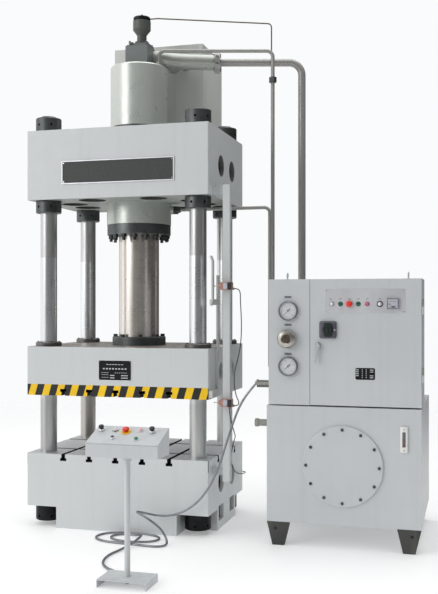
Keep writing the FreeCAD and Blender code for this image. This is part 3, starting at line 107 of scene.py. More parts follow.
# free cords: diameter and centre line points
CONDUIT_DIAMETER = 0.016
CONDUIT_ROUTE = [
    (1.020, -0.480, 1.071), (0.960, -0.487, 1.002), (0.906, -0.495, 0.912), (0.867, -0.503, 0.806),
    (0.831, -0.511, 0.696), (0.797, -0.518, 0.584), (0.758, -0.523, 0.472), (0.706, -0.526, 0.364),
    (0.636, -0.528, 0.270), (0.548, -0.527, 0.198), (0.442, -0.524, 0.152), (0.338, -0.526, 0.146),
    (0.262, -0.554, 0.164), (0.220, -0.626, 0.190), (0.252, -0.702, 0.202), (0.324, -0.722, 0.176),
    (0.386, -0.700, 0.126), (0.420, -0.678, 0.084), (0.458, -0.690, 0.028), (0.474, -0.746, 0.008),
    (0.434, -0.794, 0.008), (0.362, -0.798, 0.008), (0.276, -0.784, 0.008), (0.170, -0.778, 0.008),
    (0.058, -0.764, 0.008), (-0.034, -0.724, 0.008), (-0.074, -0.654, 0.008), (-0.054, -0.568, 0.008),
    (0.022, -0.512, 0.008), (0.130, -0.498, 0.008), (0.240, -0.504, 0.008), (0.330, -0.534, 0.008),
    (0.378, -0.596, 0.008), (0.364, -0.670, 0.008), (0.290, -0.712, 0.008), (0.190, -0.724, 0.008),
    (0.098, -0.710, 0.008), (0.036, -0.660, 0.008), (0.032, -0.588, 0.008), (0.088, -0.544, 0.008),
    (0.170, -0.548, 0.010), (0.238, -0.604, 0.024), (0.276, -0.690, 0.044), (0.284, -0.782, 0.044),
    (0.258, -0.868, 0.024), (0.216, -0.952, 0.008), (0.194, -1.050, 0.008), (0.202, -1.164, 0.008),
    (0.238, -1.270, 0.008), (0.304, -1.350, 0.009), (0.374, -1.406, 0.014), (0.4405, -1.4666, 0.020),
    (0.4815, -1.5233, 0.020),
]
CABLE_DIAMETER = 0.007
UPPER_CABLE_ROUTE = [
    (0.857, -0.442, 1.712), (0.887, -0.442, 1.712), (0.901, -0.442, 1.684), (0.901, -0.442, 1.640),
    (0.905, -0.443, 1.572), (0.909, -0.443, 1.484), (0.908, -0.443, 1.392), (0.900, -0.443, 1.306),
    (0.882, -0.443, 1.228), (0.862, -0.443, 1.154), (0.856, -0.443, 1.084), (0.862, -0.443, 1.020),
    (0.876, -0.443, 0.968), (0.892, -0.442, 0.938), (0.884, -0.442, 0.912), (0.857, -0.442, 0.912),
]
LOWER_CABLE_ROUTE = [
    (0.825, -0.442, 0.892), (0.825, -0.442, 0.862), (0.829, -0.434, 0.822), (0.836, -0.416, 0.775),
    (0.840, -0.384, 0.732), (0.835, -0.336, 0.700), (0.822, -0.276, 0.678), (0.802, -0.206, 0.658),
    (0.778, -0.138, 0.630), (0.754, -0.082, 0.586), (0.734, -0.040, 0.530), (0.720, -0.004, 0.468),
    (0.712, 0.048, 0.412), (0.708, 0.120, 0.366), (0.706, 0.204, 0.332), (0.706, 0.292, 0.308),
    (0.708, 0.372, 0.294), (0.712, 0.440, 0.288), (0.708, 0.492, 0.287), (0.675, 0.516, 0.288),
    (0.640, 0.506, 0.290), (0.612, 0.506, 0.290),
]


# ---------------------------------------------------------------- nodes and objects
def srgb(code):
    """Linear colour from the two-digit hexadecimal levels of red, green and blue."""
    def linear(level):
        level /= 255
        return level / 12.92 if level <= 0.04045 else ((level + 0.055) / 1.055) ** 2.4
    return (*(linear(int(code[start:start + 2], 16)) for start in (0, 2, 4)), 1.0)


def shown(name, data):
    """New object in the scene."""
    made = bpy.data.objects.new(name, data)
    bpy.context.scene.collection.objects.link(made)
    return made


def put(socket, value):
    if isinstance(value, bpy.types.NodeSocket):
        socket.id_data.links.new(value, socket)
    else:
        socket.default_value = value


def add(tree, kind, inputs=None, **settings):
    """New node with its settings made and its inputs set or linked."""
    made = tree.nodes.new(kind)
    for name, value in settings.items():
        setattr(made, name, value)
    for key, value in (inputs or {}).items():
        put(made.inputs[key], value)
    return made


def maths(operation, first, second=0.0):
    return add(first.id_data, "ShaderNodeMath", {0: first, 1: second}, operation=operation).outputs[0]


def times(first, second):
    return maths("MULTIPLY", first, second)


def plus(first, second):
    return maths("ADD", first, second)


def span(value, low, high, start=0.0, end=1.0):
    """Value taken from one range to another, held at the ends."""
    inputs = {"Value": value, "From Min": low, "From Max": high, "To Min": start, "To Max": end}
    return add(value.id_data, "ShaderNodeMapRange", inputs).outputs[0]


def mixed(amount, first, second):
    inputs = {0: amount, 6: first, 7: second}
    return add(amount.id_data, "ShaderNodeMix", inputs, data_type="RGBA").outputs[2]


def noise(place, scale, detail=4.0, stretch=None):
    tree = place.id_data
    if stretch is not None:
        place = add(tree, "ShaderNodeMapping", {"Vector": place, "Scale": stretch}).outputs[0]
    return add(tree, "ShaderNodeTexNoise", {"Vector": place, "Scale": scale, "Detail": detail}).outputs[0]


def cloudy(place, scale, detail, low, high, start=0.0, end=1.0):
    """Noise with its middle range stretched."""
    return span(noise(place, scale, detail), low, high, start, end)


def own_place(tree):
    """Place on the piece."""
    return add(tree, "ShaderNodeTexCoord").outputs["Object"]


def axes(place):
    return add(place.id_data, "ShaderNodeSeparateXYZ", {0: place}).outputs


def node_group(name, kind, inputs, outputs):
    """Node group with its inputs' first values or kinds: its tree, what it is given and its results."""
    tree = bpy.data.node_groups.new(name, kind)
    for label, value in inputs.items():
        kinds = {str: value, float: "Float", int: "Int"}
        sort = kinds.get(type(value)) or ("Vector" if len(value) == 3 else "Color")
        socket = tree.interface.new_socket(label, in_out="INPUT", socket_type="NodeSocket" + sort)
        if sort != value:
            socket.default_value = value
    for label, sort in outputs.items():
        tree.interface.new_socket(label, in_out="OUTPUT", socket_type="NodeSocket" + sort)
    return tree, add(tree, "NodeGroupInput").outputs, add(tree, "NodeGroupOutput").inputs


# ---------------------------------------------------------------- camera, light and floor
def make_camera():
    lens = bpy.data.cameras.new("camera")
    lens.sensor_width = 36.0
    lens.lens = 55.15
    lens.shift_y = 0.0135
    lens.clip_end = 200.0
    camera = shown("camera", lens)
    camera.location = (2.43, -6.46, 1.6)
    camera.rotation_euler = (QUARTER, 0, math.radians(15.6))
    bpy.context.scene.camera = camera


def make_light(name, place, aim, size, power, tone):
    data = bpy.data.lights.new(name, "AREA")
    data.shape = "RECTANGLE"
    data.size, data.size_y = size
    data.energy = power
    data.color = tone
    lamp = shown(name, data)
    lamp.location = place
    lamp.rotation_euler = (Vector(aim) - Vector(place)).to_track_quat("-Z", "Y").to_euler()


# brightness of the room by the direction looked in, in degrees from straight at the viewer to the right
ROOM_TONES = [
    (-180, 0.15), (-150, 0.75), (-110, 1.0), (-66, 1.0), (-30, 0.14), (22, 0.10), (38, 0.10), (86, 0.04),
    (100, 0.04), (180, 0.12)]
ROOM_FRONT = (0.2689, -0.9632)
ROOM_CEILING = (0.8, 0.8, 0.8, 1.0)
ROOM_GROUND = (0.6, 0.6, 0.59, 1.0)
ROOM_STRENGTH = 1.2


def make_studio():
    """Pale room: plain to the eye, bright to the front left, darker to the right and behind the viewer."""
    bpy.context.scene.view_settings.view_transform = "Standard"
    make_light("key", (-7.2, -9.6, 5.6), (0.5, 0, 1.5), (5.0, 5.0), 315, (1.0, 0.995, 0.985))
    make_light("top", (0.6, 0.5, 7.0), (0.6, 0, 0), (5.0, 4.0), 120, (1.0, 1.0, 1.0))
    world = bpy.data.worlds.new("room")
    bpy.context.scene.world = world
    world.use_nodes = True
    tree = world.node_tree
    tree.nodes.clear()
    east, north, up = axes(add(tree, "ShaderNodeTexCoord").outputs["Generated"])
    front_x, front_y = ROOM_FRONT
    ahead = plus(times(east, front_x), times(north, front_y))
    right = maths("SUBTRACT", times(north, front_x), times(east, front_y))
    ramp = add(tree, "ShaderNodeValToRGB", {0: span(maths("ARCTAN2", right, ahead), -math.pi, math.pi)})
    stops = ramp.color_ramp.elements
    for angle, tone in ROOM_TONES[1:-1]:
        stops.new((angle + 180) / 360)
    for stop, (angle, tone) in zip(stops, ROOM_TONES):
        stop.color = (tone, tone, tone, 1.0)
    lit = mixed(span(up, 0.25, 0.85), ramp.outputs[0], ROOM_CEILING)
    lit = mixed(span(up, -0.1, -0.5), lit, ROOM_GROUND)
    seen = add(tree, "ShaderNodeLightPath").outputs["Is Camera Ray"]
    shade = add(tree, "ShaderNodeBackground", {"Color": lit, "Strength": ROOM_STRENGTH})
    plain = add(tree, "ShaderNodeBackground", {"Color": srgb("fafbfc"), "Strength": 1.0})
    both = add(tree, "ShaderNodeMixShader", {0: seen, 1: shade.outputs[0], 2: plain.outputs[0]})
    add(tree, "ShaderNodeOutputWorld", {"Surface": both.outputs[0]})


def new_look(name):
    """New material with its shader's inputs."""
    material = bpy.data.materials.new(name)
    material.use_nodes = True
    return material, material.node_tree.nodes["Principled BSDF"].inputs


def make_floor():
    """Pale floor that fades out into the room."""
    half = 14.0
    mesh = bpy.data.meshes.new("floor")
    corners = [(x * half, y * half, 0) for x, y in ((-1, -1), (1, -1), (1, 1), (-1, 1))]
    mesh.from_pydata(corners, [], [(0, 1, 2, 3)])
    floor = shown("floor", mesh)
    material, sockets = new_look("pale floor")
    place = own_place(material.node_tree)
    put(sockets["Base Color"], mixed(noise(place, 0.6, 3), srgb("ecedee"), srgb("f3f3f3")))
    put(sockets["Roughness"], cloudy(place, 9.0, 4, 0.3, 0.7, 0.5, 0.65))
    far = add(material.node_tree, "ShaderNodeVectorMath", {0: place}, operation="LENGTH").outputs["Value"]
    put(sockets["Alpha"], span(far, 3.6, 9.0, 1.0, 0.0))
    sockets["Emission Color"].default_value = (1.0, 1.0, 1.0, 1.0)
    sockets["Emission Strength"].default_value = 0.22
    mesh.materials.append(material)


# ---------------------------------------------------------------- shared finishes
GREY = (0.5, 0.5, 0.5, 1.0)
COAT_OUTPUTS = {"Colour": "Color", "Roughness": "Float", "Normal": "Vector"}


def rubbed(place, scale, detail, low, high, wear):
    """Mask of the broken edges where the finish is worn off."""
    edge = add(place.id_data, "ShaderNodeAttribute", attribute_name="edge").outputs["Fac"]
    return times(times(edge, cloudy(place, scale, detail, low, high)), wear)


def bumped(height, strength, distance):
    inputs = {"Height": height, "Strength": strength, "Distance": distance}
    return add(height.id_data, "ShaderNodeBump", inputs).outputs[0]


def paint_coat():
    """Sprayed enamel: cloudy tone, dust on level faces, faint runs, rubbed edges and orange peel."""
    tree, given, result = node_group("paint coat", "ShaderNodeTree", {
        "Colour": GREY, "Shade": GREY, "Soil": srgb("787468"), "Bare": srgb("606160"), "Mottle": 0.35,
        "Soiling": 0.2, "Wear": 0.45, "Gloss": 0.36, "Peel": 0.12}, COAT_OUTPUTS)
    place = own_place(tree)
    clouds = times(cloudy(place, 2.6, 5, 0.36, 0.64), given["Mottle"])
    colour = mixed(clouds, given["Colour"], given["Shade"])
    up = axes(add(tree, "ShaderNodeNewGeometry").outputs["Normal"])["Z"]
    dust = times(span(up, 0.6, 0.95), cloudy(place, 21, 6, 0.42, 0.68))
    runs = span(noise(place, 1.0, 5, (19, 19, 0.9)), 0.52, 0.8, 0.0, 0.6)
    specks = cloudy(place, 130, 3, 0.68, 0.74, 0.0, 0.5)
    soiled = times(maths("MAXIMUM", maths("MAXIMUM", dust, runs), specks), given["Soiling"])
    colour = mixed(soiled, colour, given["Soil"])
    put(result["Colour"], mixed(rubbed(place, 34, 6, 0.47, 0.6, given["Wear"]), colour, given["Bare"]))
    uneven = cloudy(place, 11, 4, 0.3, 0.7, -0.05, 0.07)
    put(result["Roughness"], plus(plus(given["Gloss"], uneven), times(soiled, 0.3)))
    swell = times(noise(place, 7, 3), times(given["Peel"], 5.0))
    height = plus(times(noise(place, 260, 2), given["Peel"]), swell)
    put(result["Normal"], bumped(height, 0.6, 0.0012))
    return tree


def worked_metal():
    """Machined or polished metal: tool marks along one direction, tone streaks and oily patches; on the
    columns and the rod the long upright tone streaks are painted reflection bands.
    """
    tree, given, result = node_group("worked metal", "ShaderNodeTree", {
        "Colour": GREY, "Tint": GREY, "Marks": (1.0, 1.0, 1.0), "Streaks": (6.0, 6.0, 6.0), "Tone": 0.5,
        "Smooth": 0.15, "Rough": 0.35, "Grain": 0.2, "Bright": srgb("bebebc"), "Wear": 0.0,
    }, COAT_OUTPUTS)
    place = own_place(tree)
    marks = noise(place, 1.0, 3, given["Marks"])
    streaks = span(noise(place, 1.0, 5, given["Streaks"]), 0.35, 0.7)
    patches = cloudy(place, 5.5, 2, 0.35, 0.65)
    tone = times(maths("MAXIMUM", streaks, times(patches, 0.5)), given["Tone"])
    colour = mixed(tone, given["Colour"], given["Tint"])
    put(result["Colour"], mixed(rubbed(place, 60, 5, 0.4, 0.58, given["Wear"]), colour, given["Bright"]))
    blend = times(plus(marks, patches), 0.5)
    spread = maths("SUBTRACT", given["Rough"], given["Smooth"])
    put(result["Roughness"], plus(given["Smooth"], times(blend, spread)))
    put(result["Normal"], bumped(marks, given["Grain"], 0.0003))
    return tree


def moulded_skin():
    """Moulded plastic or rubber: fine grain, scuffs and a little tone change."""
    tree, given, result = node_group("moulded skin", "ShaderNodeTree", {
        "Colour": GREY, "Shade": GREY, "Gloss": 0.35, "Grain": 0.1}, COAT_OUTPUTS)
    place = own_place(tree)
    scuffs = cloudy(place, 70, 5, 0.45, 0.75)
    put(result["Colour"], mixed(scuffs, given["Colour"], given["Shade"]))
    put(result["Roughness"], plus(given["Gloss"], times(scuffs, 0.15)))
    put(result["Normal"], bumped(noise(place, 900, 2), given["Grain"], 0.0002))
    return tree


PAINT = paint_coat()
METAL = worked_metal()
SKIN = moulded_skin()


def coated(name, group, values, named=None, metal=0.0, plain=None):
    """Material in a shared finish; the finish's own values stand in for those that aren't given."""
    material, sockets = new_look(name)
    coat = add(material.node_tree, "ShaderNodeGroup", node_tree=group)
    given = dict(zip(coat.inputs.keys(), values))
    given.update((label.capitalize(), value) for label, value in (named or {}).items())
    for label, value in given.items():
        socket = coat.inputs[label]
        if socket.type == "RGBA":
            value = srgb(value)
        elif socket.type == "VECTOR" and not isinstance(value, tuple):
            value = (value, value, value)
        socket.default_value = value
    for socket, output in zip(("Base Color", "Roughness", "Normal"), COAT_OUTPUTS):
        put(sockets[socket], coat.outputs[output])
    sockets["Metallic"].default_value = metal
    for socket, value in (plain or {}).items():
        sockets[socket].default_value = value
    return material


def painted(name, *values, metal=0.0, **named):
    return coated(name, PAINT, values, named, metal)


def metallic(name, *values):
    return coated(name, METAL, values, metal=1.0)


def moulded(name, *values, plain=None):
    return coated(name, SKIN, values, plain=plain)


# how fine the tool marks are along X, Y and Z, or along all three
ROUND_MARKS = (3, 3, 900)
LEVEL_MARKS = (700, 5, 5)
FINE_MARKS = 60

# painted: colour, shade and what differs from the usual coat
# metallic: colour, tint, tool marks, streaks, tone, smooth, rough, grain, bright edges and their wear
# moulded: colour, shade, gloss, grain
frame_paint = painted("frame paint", "d0d4d5", "c9cece", mottle=0.25, soiling=0.13)
cylinder_paint = painted("cylinder paint", "c8cdc7", "bec3bd", gloss=0.30, mottle=0.2, soiling=0.08,
                         wear=0.2, peel=0.03, metal=0.42)
# darker than the pale paint the tube really has: painted shade for the tube's shaded underside
tube_shaded_paint = painted("wide tube shaded paint", "b0b4ad", "9ea29b", gloss=0.3, mottle=0.3, soiling=0.2, wear=0.0,
                     metal=0.4)
prefill_paint = painted("prefill tank paint", "cccfcb", "c2c5c0", gloss=0.4, soiling=0.3)
unit_paint = painted("unit paint", "c9cdcf", "c0c4c7", soiling=0.12, wear=0.3)
pipe_paint = painted("pipe paint", "a2a19e", "908e8b", mottle=0.2, soiling=0.1, wear=0.2, gloss=0.34,
                     metal=0.3)
pilot_paint = painted("pilot tube brown", "685e56", "504842", gloss=0.35, metal=0.3)
oily_top = painted("oily top face", "b8b8b4", "8c7e72", soil="544236", mottle=0.7, soiling=0.7, gloss=0.3)
bar_paint = painted("bar paint", "ccd1d1", "bcc1c0", soiling=0.5)
motor_paint = painted("motor paint", "78868e", "68767e", soiling=0.4)
valve_paint = painted("valve paint", "525752", "444944", gloss=0.42, soiling=0.3)
block_paint = painted("block paint", "6e7474", "606665", soiling=0.25)
foot_paint = painted("foot paint", "323433", "4a4a46", mottle=0.7, soiling=0.5, gloss=0.5)
trip_paint = painted("trip paint", "ced0ce", "babcba")
# darker paint that paints the shade on the walls of the crown's side openings
hole_wall_shade = painted("hole wall painted shade", "767a77", "606461", soiling=0.5)
# darker copy of the frame paint: painted shade on the crown's under face
underside_shade = painted("under face painted shade", "969d98", "888f8a", soiling=0.3)
nut_black = metallic("oiled black steel", "686c6c", "484b4c", ROUND_MARKS, 9, 0.8, 0.34, 0.56, 0.35,
                     "b0b0ae", 0.9)
cap_black = metallic("blackened cap", "2c2e2f", "1c1d1e", ROUND_MARKS, 9, 0.8, 0.34, 0.56, 0.3, "6e6e6c",
                     0.6)
bolt_black = metallic("bolt steel", "545658", "343638", 90, 30, 0.7, 0.3, 0.5, 0.2, "aaaaa8", 0.9)
bush_iron = metallic("bush iron", "7a7977", "585755", ROUND_MARKS, 12, 0.8, 0.3, 0.5, 0.3, "a8a6a2", 0.9)
# the long upright tone streaks of the column chrome paint reflection bands
column_chrome = metallic("column chrome", "e8eaec", "babcbe", ROUND_MARKS, (26, 26, 0.6), 0.5, 0.24, 0.34,
                         0.10)
column_end = metallic("column end", "626261", "464645", FINE_MARKS, 18, 0.8, 0.35, 0.55, 0.2)
# the long upright brownish streaks of the rod steel paint reflection bands
rod_steel = metallic("rod steel", "ece8e2", "b8aca0", ROUND_MARKS, (34, 34, 0.5), 0.7, 0.24, 0.34, 0.14)
table_steel = metallic("ground steel", "e2e4e6", "cccece", LEVEL_MARKS, 3, 0.5, 0.35, 0.55, 0.25)
bright_steel = metallic("bright steel", "d6d6d4", "aaaaa8", FINE_MARKS, 20, 0.4, 0.12, 0.32, 0.1)
plate_silver = metallic("plate silver", "e2e4e7", "ced0d4", (9, 9, 500), 6, 0.4, 0.4, 0.55, 0.15)
gauge_rim = metallic("gauge rim", "90919e", "6a6c7a", FINE_MARKS, 20, 0.7, 0.35, 0.5, 0.1, "d6d8e2", 0.8)
knob_steel = metallic("knob steel", "d0cdc7", "989188", (40, 700, 40), 30, 0.7, 0.16, 0.36, 0.2)
knob_centre = metallic("knob centre", "a0968a", "60564c", 60, 22, 0.9, 0.14, 0.3, 0.2)
handle_steel = metallic("handle steel", "d8dadc", "c8cacc", FINE_MARKS, 14, 0.4, 0.35, 0.5, 0.1)
# dark finish that paints the shade inside the hollow crown, slide and bed
inside_shade = moulded("painted inside shade", "4a4e4b", "343735", 0.6, 0.4)
manifold_steel = metallic("manifold steel", "78787a", "5a5a5c", 40, 10, 0.7, 0.35, 0.55, 0.2)
conduit_metal = metallic("wound hose", "989a9f", "6e7076", 80, 14, 0.7, 0.34, 0.56, 0.15)
cable_rubber = moulded("cable rubber", "343538", "4a4b4e", 0.5, 0.3)
fitting_grey = moulded("fitting grey", "989792", "74746e", 0.45, 0.3)
# near black that paints the shade in slots, holes, grooves and behind the fan grille
recess_shade = moulded("painted recess shade", "141516", "222221", 0.7, 0.4)
plate_dark = moulded("plate enamel", "343a38", "404643", 0.5, 0.1)
plate_black = moulded("plate black", "141517", "1e1f21", 0.5, 0.1, plain={"Specular IOR Level": 0.2})
print_light = moulded("light print", "ced0d2", "b0b2b4", 0.4, 0.1)
print_dark = moulded("dark print", "3a3c48", "525460", 0.4, 0.1)
dial_white = moulded("dial white", "f0f0f2", "e2e2e6", 0.35, 0.05)
white_plastic = moulded("white plastic", "ececea", "d6d6d4", 0.25)
meter_pale = moulded("meter face", "c0bfc7", "aeadb8", 0.3)
meter_grey = moulded("meter grey", "b0aeba", "9694a0", 0.3)
black_plastic = moulded("black plastic", "222426", "36383a", 0.38, 0.3)
isolator_grey = moulded("isolator grey", "62606c", "4e4c58", 0.35, 0.3)
isolator_green = moulded("isolator green", "1a2622", "2c3a34", 0.3, 0.3)
green_plastic = moulded("green plastic", "0e6042", "247454", 0.25)
pale_green = moulded("pale green plastic", "3c8468", "589c80", 0.25)
red_plastic = moulded("red plastic", "de2e26", "e85042", 0.26)
level_red = moulded("level red", "96383a", "7e3238", 0.3)
pink_plastic = moulded("pink lens", "cc5c74", "d67c8e", 0.22)
pale_pink = moulded("pale pink lens", "eebcc6", "e4a0ac", 0.22)
yellow_plastic = moulded("yellow plastic", "f6c422", "e0ac1a", 0.35)
switch_copper = moulded("switch enamel", "b2867c", "8c6258", 0.35, 0.3)
clear_glass = moulded("clear glass", "e8eef0", "e2e8ec", 0.05, 0.0, plain={"Alpha": 0.16})


# ---------------------------------------------------------------- shapes
def baked(data, modified=None):
    """Plain mesh of some data, with the modifiers that modified() gives it."""
    carrier = shown("carrier", data)
    if modified is not None:
        modified(carrier)
    bpy.context.view_layer.update()
    graph = bpy.context.evaluated_depsgraph_get()
    mesh = bpy.data.meshes.new_from_object(carrier.evaluated_get(graph), depsgraph=graph)
    bpy.data.objects.remove(carrier)
    return mesh


def meshed(shape):
    """Mesh of a bmesh, which ends with it."""
    mesh = bpy.data.meshes.new("shape")
    shape.to_mesh(mesh)
    shape.free()
    return mesh


def settled(mesh, weighted=True):
    """Mesh with smooth faces, sharp corners kept, and flat faces kept flat."""
    mesh.shade_smooth()
    mesh.set_sharp_from_angle(angle=SMOOTH)
    if not weighted:
        return mesh

    def weigh(carrier):
        carrier.modifiers.new("weighted", "WEIGHTED_NORMAL").keep_sharp = True
    return baked(mesh, weigh)


def as_piece(name, data, body, replaced=()):
    """Finished piece at the origin, riding on its body."""
    piece = shown(name, data)
    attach(piece, body)
    if replaced:
        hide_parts(*replaced)
    return piece


def seated(name, mesh, material, body="frame", place=None, weighted=True,
           replaced=()):
    """Piece in one finish, put in its place."""
    if place is not None:
        mesh.transform(place)
    mesh = settled(mesh, weighted)
    mesh.materials.clear()
    mesh.materials.append(material)
    return as_piece(name, mesh, body, replaced)


def rounded(shape, width, joint=None):
    """Breaks the sharp edges of a bmesh, not those along a joint's height, and marks the break."""
    mark = shape.verts.layers.float.new("edge")
    sharp = [edge for edge in shape.edges if edge.is_manifold and edge.calc_face_angle() > SHARP]
    if joint is not None:
        sharp = [edge for edge in sharp if any(abs(vertex.co.z - joint) > 0.0001 for vertex in edge.verts)]
    if sharp and width:
        made = bmesh.ops.bevel(shape, geom=sharp, offset=width, offset_type="OFFSET", segments=2, profile=0.6,
                               affect="EDGES", clamp_overlap=True)
        faces = set(made["faces"])
        for vertex in made["verts"]:
            if all(face in faces for face in vertex.link_faces):
                vertex[mark] = 1.0


LIFTING_EYES = ((1.207, -0.335, 1.803), (2.019, -0.335, 1.803))


def turn_lifting_eyes(shape):
    """Screws the cabinet's lifting eyes round until their rings are edge-on to the front."""
    for x, y, z in LIFTING_EYES:
        ring = [vertex for vertex in shape.verts
                if abs(vertex.co.x - x) < 0.02 and abs(vertex.co.y - y) < 0.02 and vertex.co.z > z - 0.0185]
        bmesh.ops.rotate(shape, cent=(x, y, z), matrix=Matrix.Rotation(QUARTER, 3, "Z"), verts=ring)


def taper_lever(shape):
    """Narrows the door handle's lever towards its lower end and leans it to the left."""
    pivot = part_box("door_handle")[1].x - 0.016
    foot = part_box("door_handle")[0].z
    for vertex in shape.verts:
        if vertex.co.z < foot + 0.02:
            vertex.co.x = pivot - 0.010 + (vertex.co.x - pivot) * 0.5


def dressed(node, material, width=0.0006):
    """The construction's own piece with broken edges and smooth round faces, in its finishes."""
    source = frame["nodes"][node]
    shape = bmesh.new()
    shape.from_mesh(source.data)
    bmesh.ops.remove_doubles(shape, verts=shape.verts, dist=WELD)
    bmesh.ops.dissolve_limit(shape, angle_limit=FLAT, verts=shape.verts, edges=shape.edges)
    if node in ROUNDED_CORNERS:
        corner, picks = ROUNDED_CORNERS[node]
        chosen = [edge for edge in shape.edges if all(picks(vertex.co) for vertex in edge.verts)]
        bmesh.ops.bevel(shape, geom=chosen, offset=corner, segments=5, profile=0.5, affect="EDGES")
    if node in RESHAPED:
        RESHAPED[node](shape)
    rounded(shape, width, FLUSH_JOINTS.get(node))
    piece = seated(node + "_finish", meshed(shape), material, source["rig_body"], replaced=[node])
    for number, (zone, picks) in enumerate(ZONES.get(node, []), 1):
        piece.data.materials.append(zone)
        for face in piece.data.polygons:
            if picks(face.center, face.normal):
                face.material_index = number


def circle_points(radius, sides=40):
    angles = [2 * math.pi * step / sides for step in range(sides)]
    return [(radius * math.cos(angle), radius * math.sin(angle)) for angle in angles]


def turned(profile, sides=48, loop=False):
    """Mesh turned about Z from (radius, height) points; points on the axis close it."""
    shape = bmesh.new()
    rings = []
    for radius, height in profile:
        corners = circle_points(radius, sides) if radius else [(0, 0)]
        rings.append([shape.verts.new((x, y, height)) for x, y in corners])
    pairs = list(zip(rings, rings[1:]))
    if loop:
        pairs.append((rings[-1], rings[0]))
    for low, high in pairs:
        for step in range(sides):
            after = (step + 1) % sides
            turns = ((low, step), (low, after), (high, after), (high, step))
            unique = list(dict.fromkeys(ring[number % len(ring)] for ring, number in turns))
            if len(unique) > 2:
                shape.faces.new(unique)
    bmesh.ops.recalc_face_normals(shape, faces=shape.faces)
    return meshed(shape)


def disc(radius, height, sides=48):
    return turned([(0, 0), (radius, 0), (radius, height), (0, height)], sides)


def rounded_outline(width, height, corner, steps=6):
    points = []
    for sx, sy, start in ((1, 1, 0), (-1, 1, 90), (-1, -1, 180), (1, -1, 270)):
        for step in range(steps + 1):
            angle = math.radians(start + 90 * step / steps)
            points.append((sx * (width / 2 - corner) + corner * math.cos(angle),
                           sy * (height / 2 - corner) + corner * math.sin(angle)))
    return points


def lines(paths, kind="POLY", closed=False):
    """Curve data with a line through each list of points."""
    data = bpy.data.curves.new("lines", "CURVE")
    data.dimensions = "3D"
    for path in paths:
        spline = data.splines.new(kind)
        spline.points.add(len(path) - 1)
        for point, place in zip(spline.points, path):
            point.co = (*place, 1.0)
        spline.use_cyclic_u = closed
    return data


def sheet_shape(outlines, thickness, edge=0.0002):
    """Flat sheet with holes, its back on Z=0, from closed outlines: the first outside, the rest holes."""
    paths = [outlines[0]] + [outline[::-1] for outline in outlines[1:]]
    data = lines([[(x, y, 0) for x, y in path] for path in paths], closed=True)
    data.dimensions = "2D"
    data.fill_mode = "BOTH"
    data.extrude = thickness / 2 - edge
    data.bevel_depth = edge
    data.bevel_resolution = 2
    mesh = baked(data)
    mesh.transform(Matrix.Translation((0, 0, thickness / 2)))
    shape = bmesh.new()
    shape.from_mesh(mesh)
    bmesh.ops.remove_doubles(shape, verts=shape.verts, dist=WELD)
    bmesh.ops.recalc_face_normals(shape, faces=shape.faces)
    return meshed(shape)


def joined(meshes):
    """One mesh from several."""
    shape = bmesh.new()
    for mesh in meshes:
        shape.from_mesh(mesh)
    return meshed(shape)


def placed(mesh, place):
    mesh.transform(place)
    return mesh


def shift(*place):
    return Matrix.Translation(place)


def about(axis, angle=QUARTER):
    return Matrix.Rotation(angle, 4, axis)


def on_front(x, y, z):
    """Place on a face that looks to the front: X stays, local Y is up and local Z comes forward."""
    return shift(x, y, z) @ about("X")


def console_height(y):
    return CONSOLE_FRONT_TOP + (y - CONSOLE_LOW.y) * CONSOLE_RISE


def on_console(x, y):
    """Place on the pedestal's sloping panel."""
    return shift(x, y, console_height(y)) @ about("X", math.atan(CONSOLE_RISE))


# ---------------------------------------------------------------- what repeats
def growth(name, inputs):
    given = {"Geometry": "Geometry", **inputs, "Material": "Material"}
    tree, given, result = node_group(name, "GeometryNodeTree", given, {"Geometry": "Geometry"})
    tree.is_modifier = True
    return tree, given, result


def close_growth(tree, given, result, geometry):
    real = add(tree, "GeometryNodeRealizeInstances", {0: geometry.outputs[0]})
    coat = add(tree, "GeometryNodeSetMaterial", {"Geometry": real.outputs[0], "Material": given["Material"]})
    put(result[0], coat.outputs[0])
    return tree


def arc_of_fittings():
    """Copies of one fitting round an arc about Z, each turned to face outwards."""
    tree, given, result = growth("arc of fittings", {"Count": 8, "Radius": 0.1, "Start": 0.0, "Step": 0.785})
    angle = plus(times(add(tree, "GeometryNodeInputIndex").outputs[0], given["Step"]), given["Start"])
    across, along = (times(maths(part, angle), given["Radius"]) for part in ("COSINE", "SINE"))
    spot = add(tree, "ShaderNodeCombineXYZ", {0: across, 1: along})
    points = add(tree, "GeometryNodePoints", {"Count": given["Count"], "Position": spot.outputs[0]})
    facing = add(tree, "ShaderNodeCombineXYZ", {2: angle})
    return close_growth(tree, given, result, add(tree, "GeometryNodeInstanceOnPoints", {
        "Points": points.outputs[0], "Instance": given["Geometry"], "Rotation": facing.outputs[0]}))


def grid_of_fittings():
    """Copies of one fitting at the crossings of a flat grid about the origin."""
    tree, given, result = growth("grid of fittings", {"Width": 0.1, "Height": 0.1, "Columns": 2, "Rows": 2})
    grid = add(tree, "GeometryNodeMeshGrid", {
        "Size X": given["Width"], "Size Y": given["Height"], "Vertices X": given["Columns"],
        "Vertices Y": given["Rows"]})
    return close_growth(tree, given, result, add(tree, "GeometryNodeInstanceOnPoints", {
        "Points": grid.outputs[0], "Instance": given["Geometry"]}))


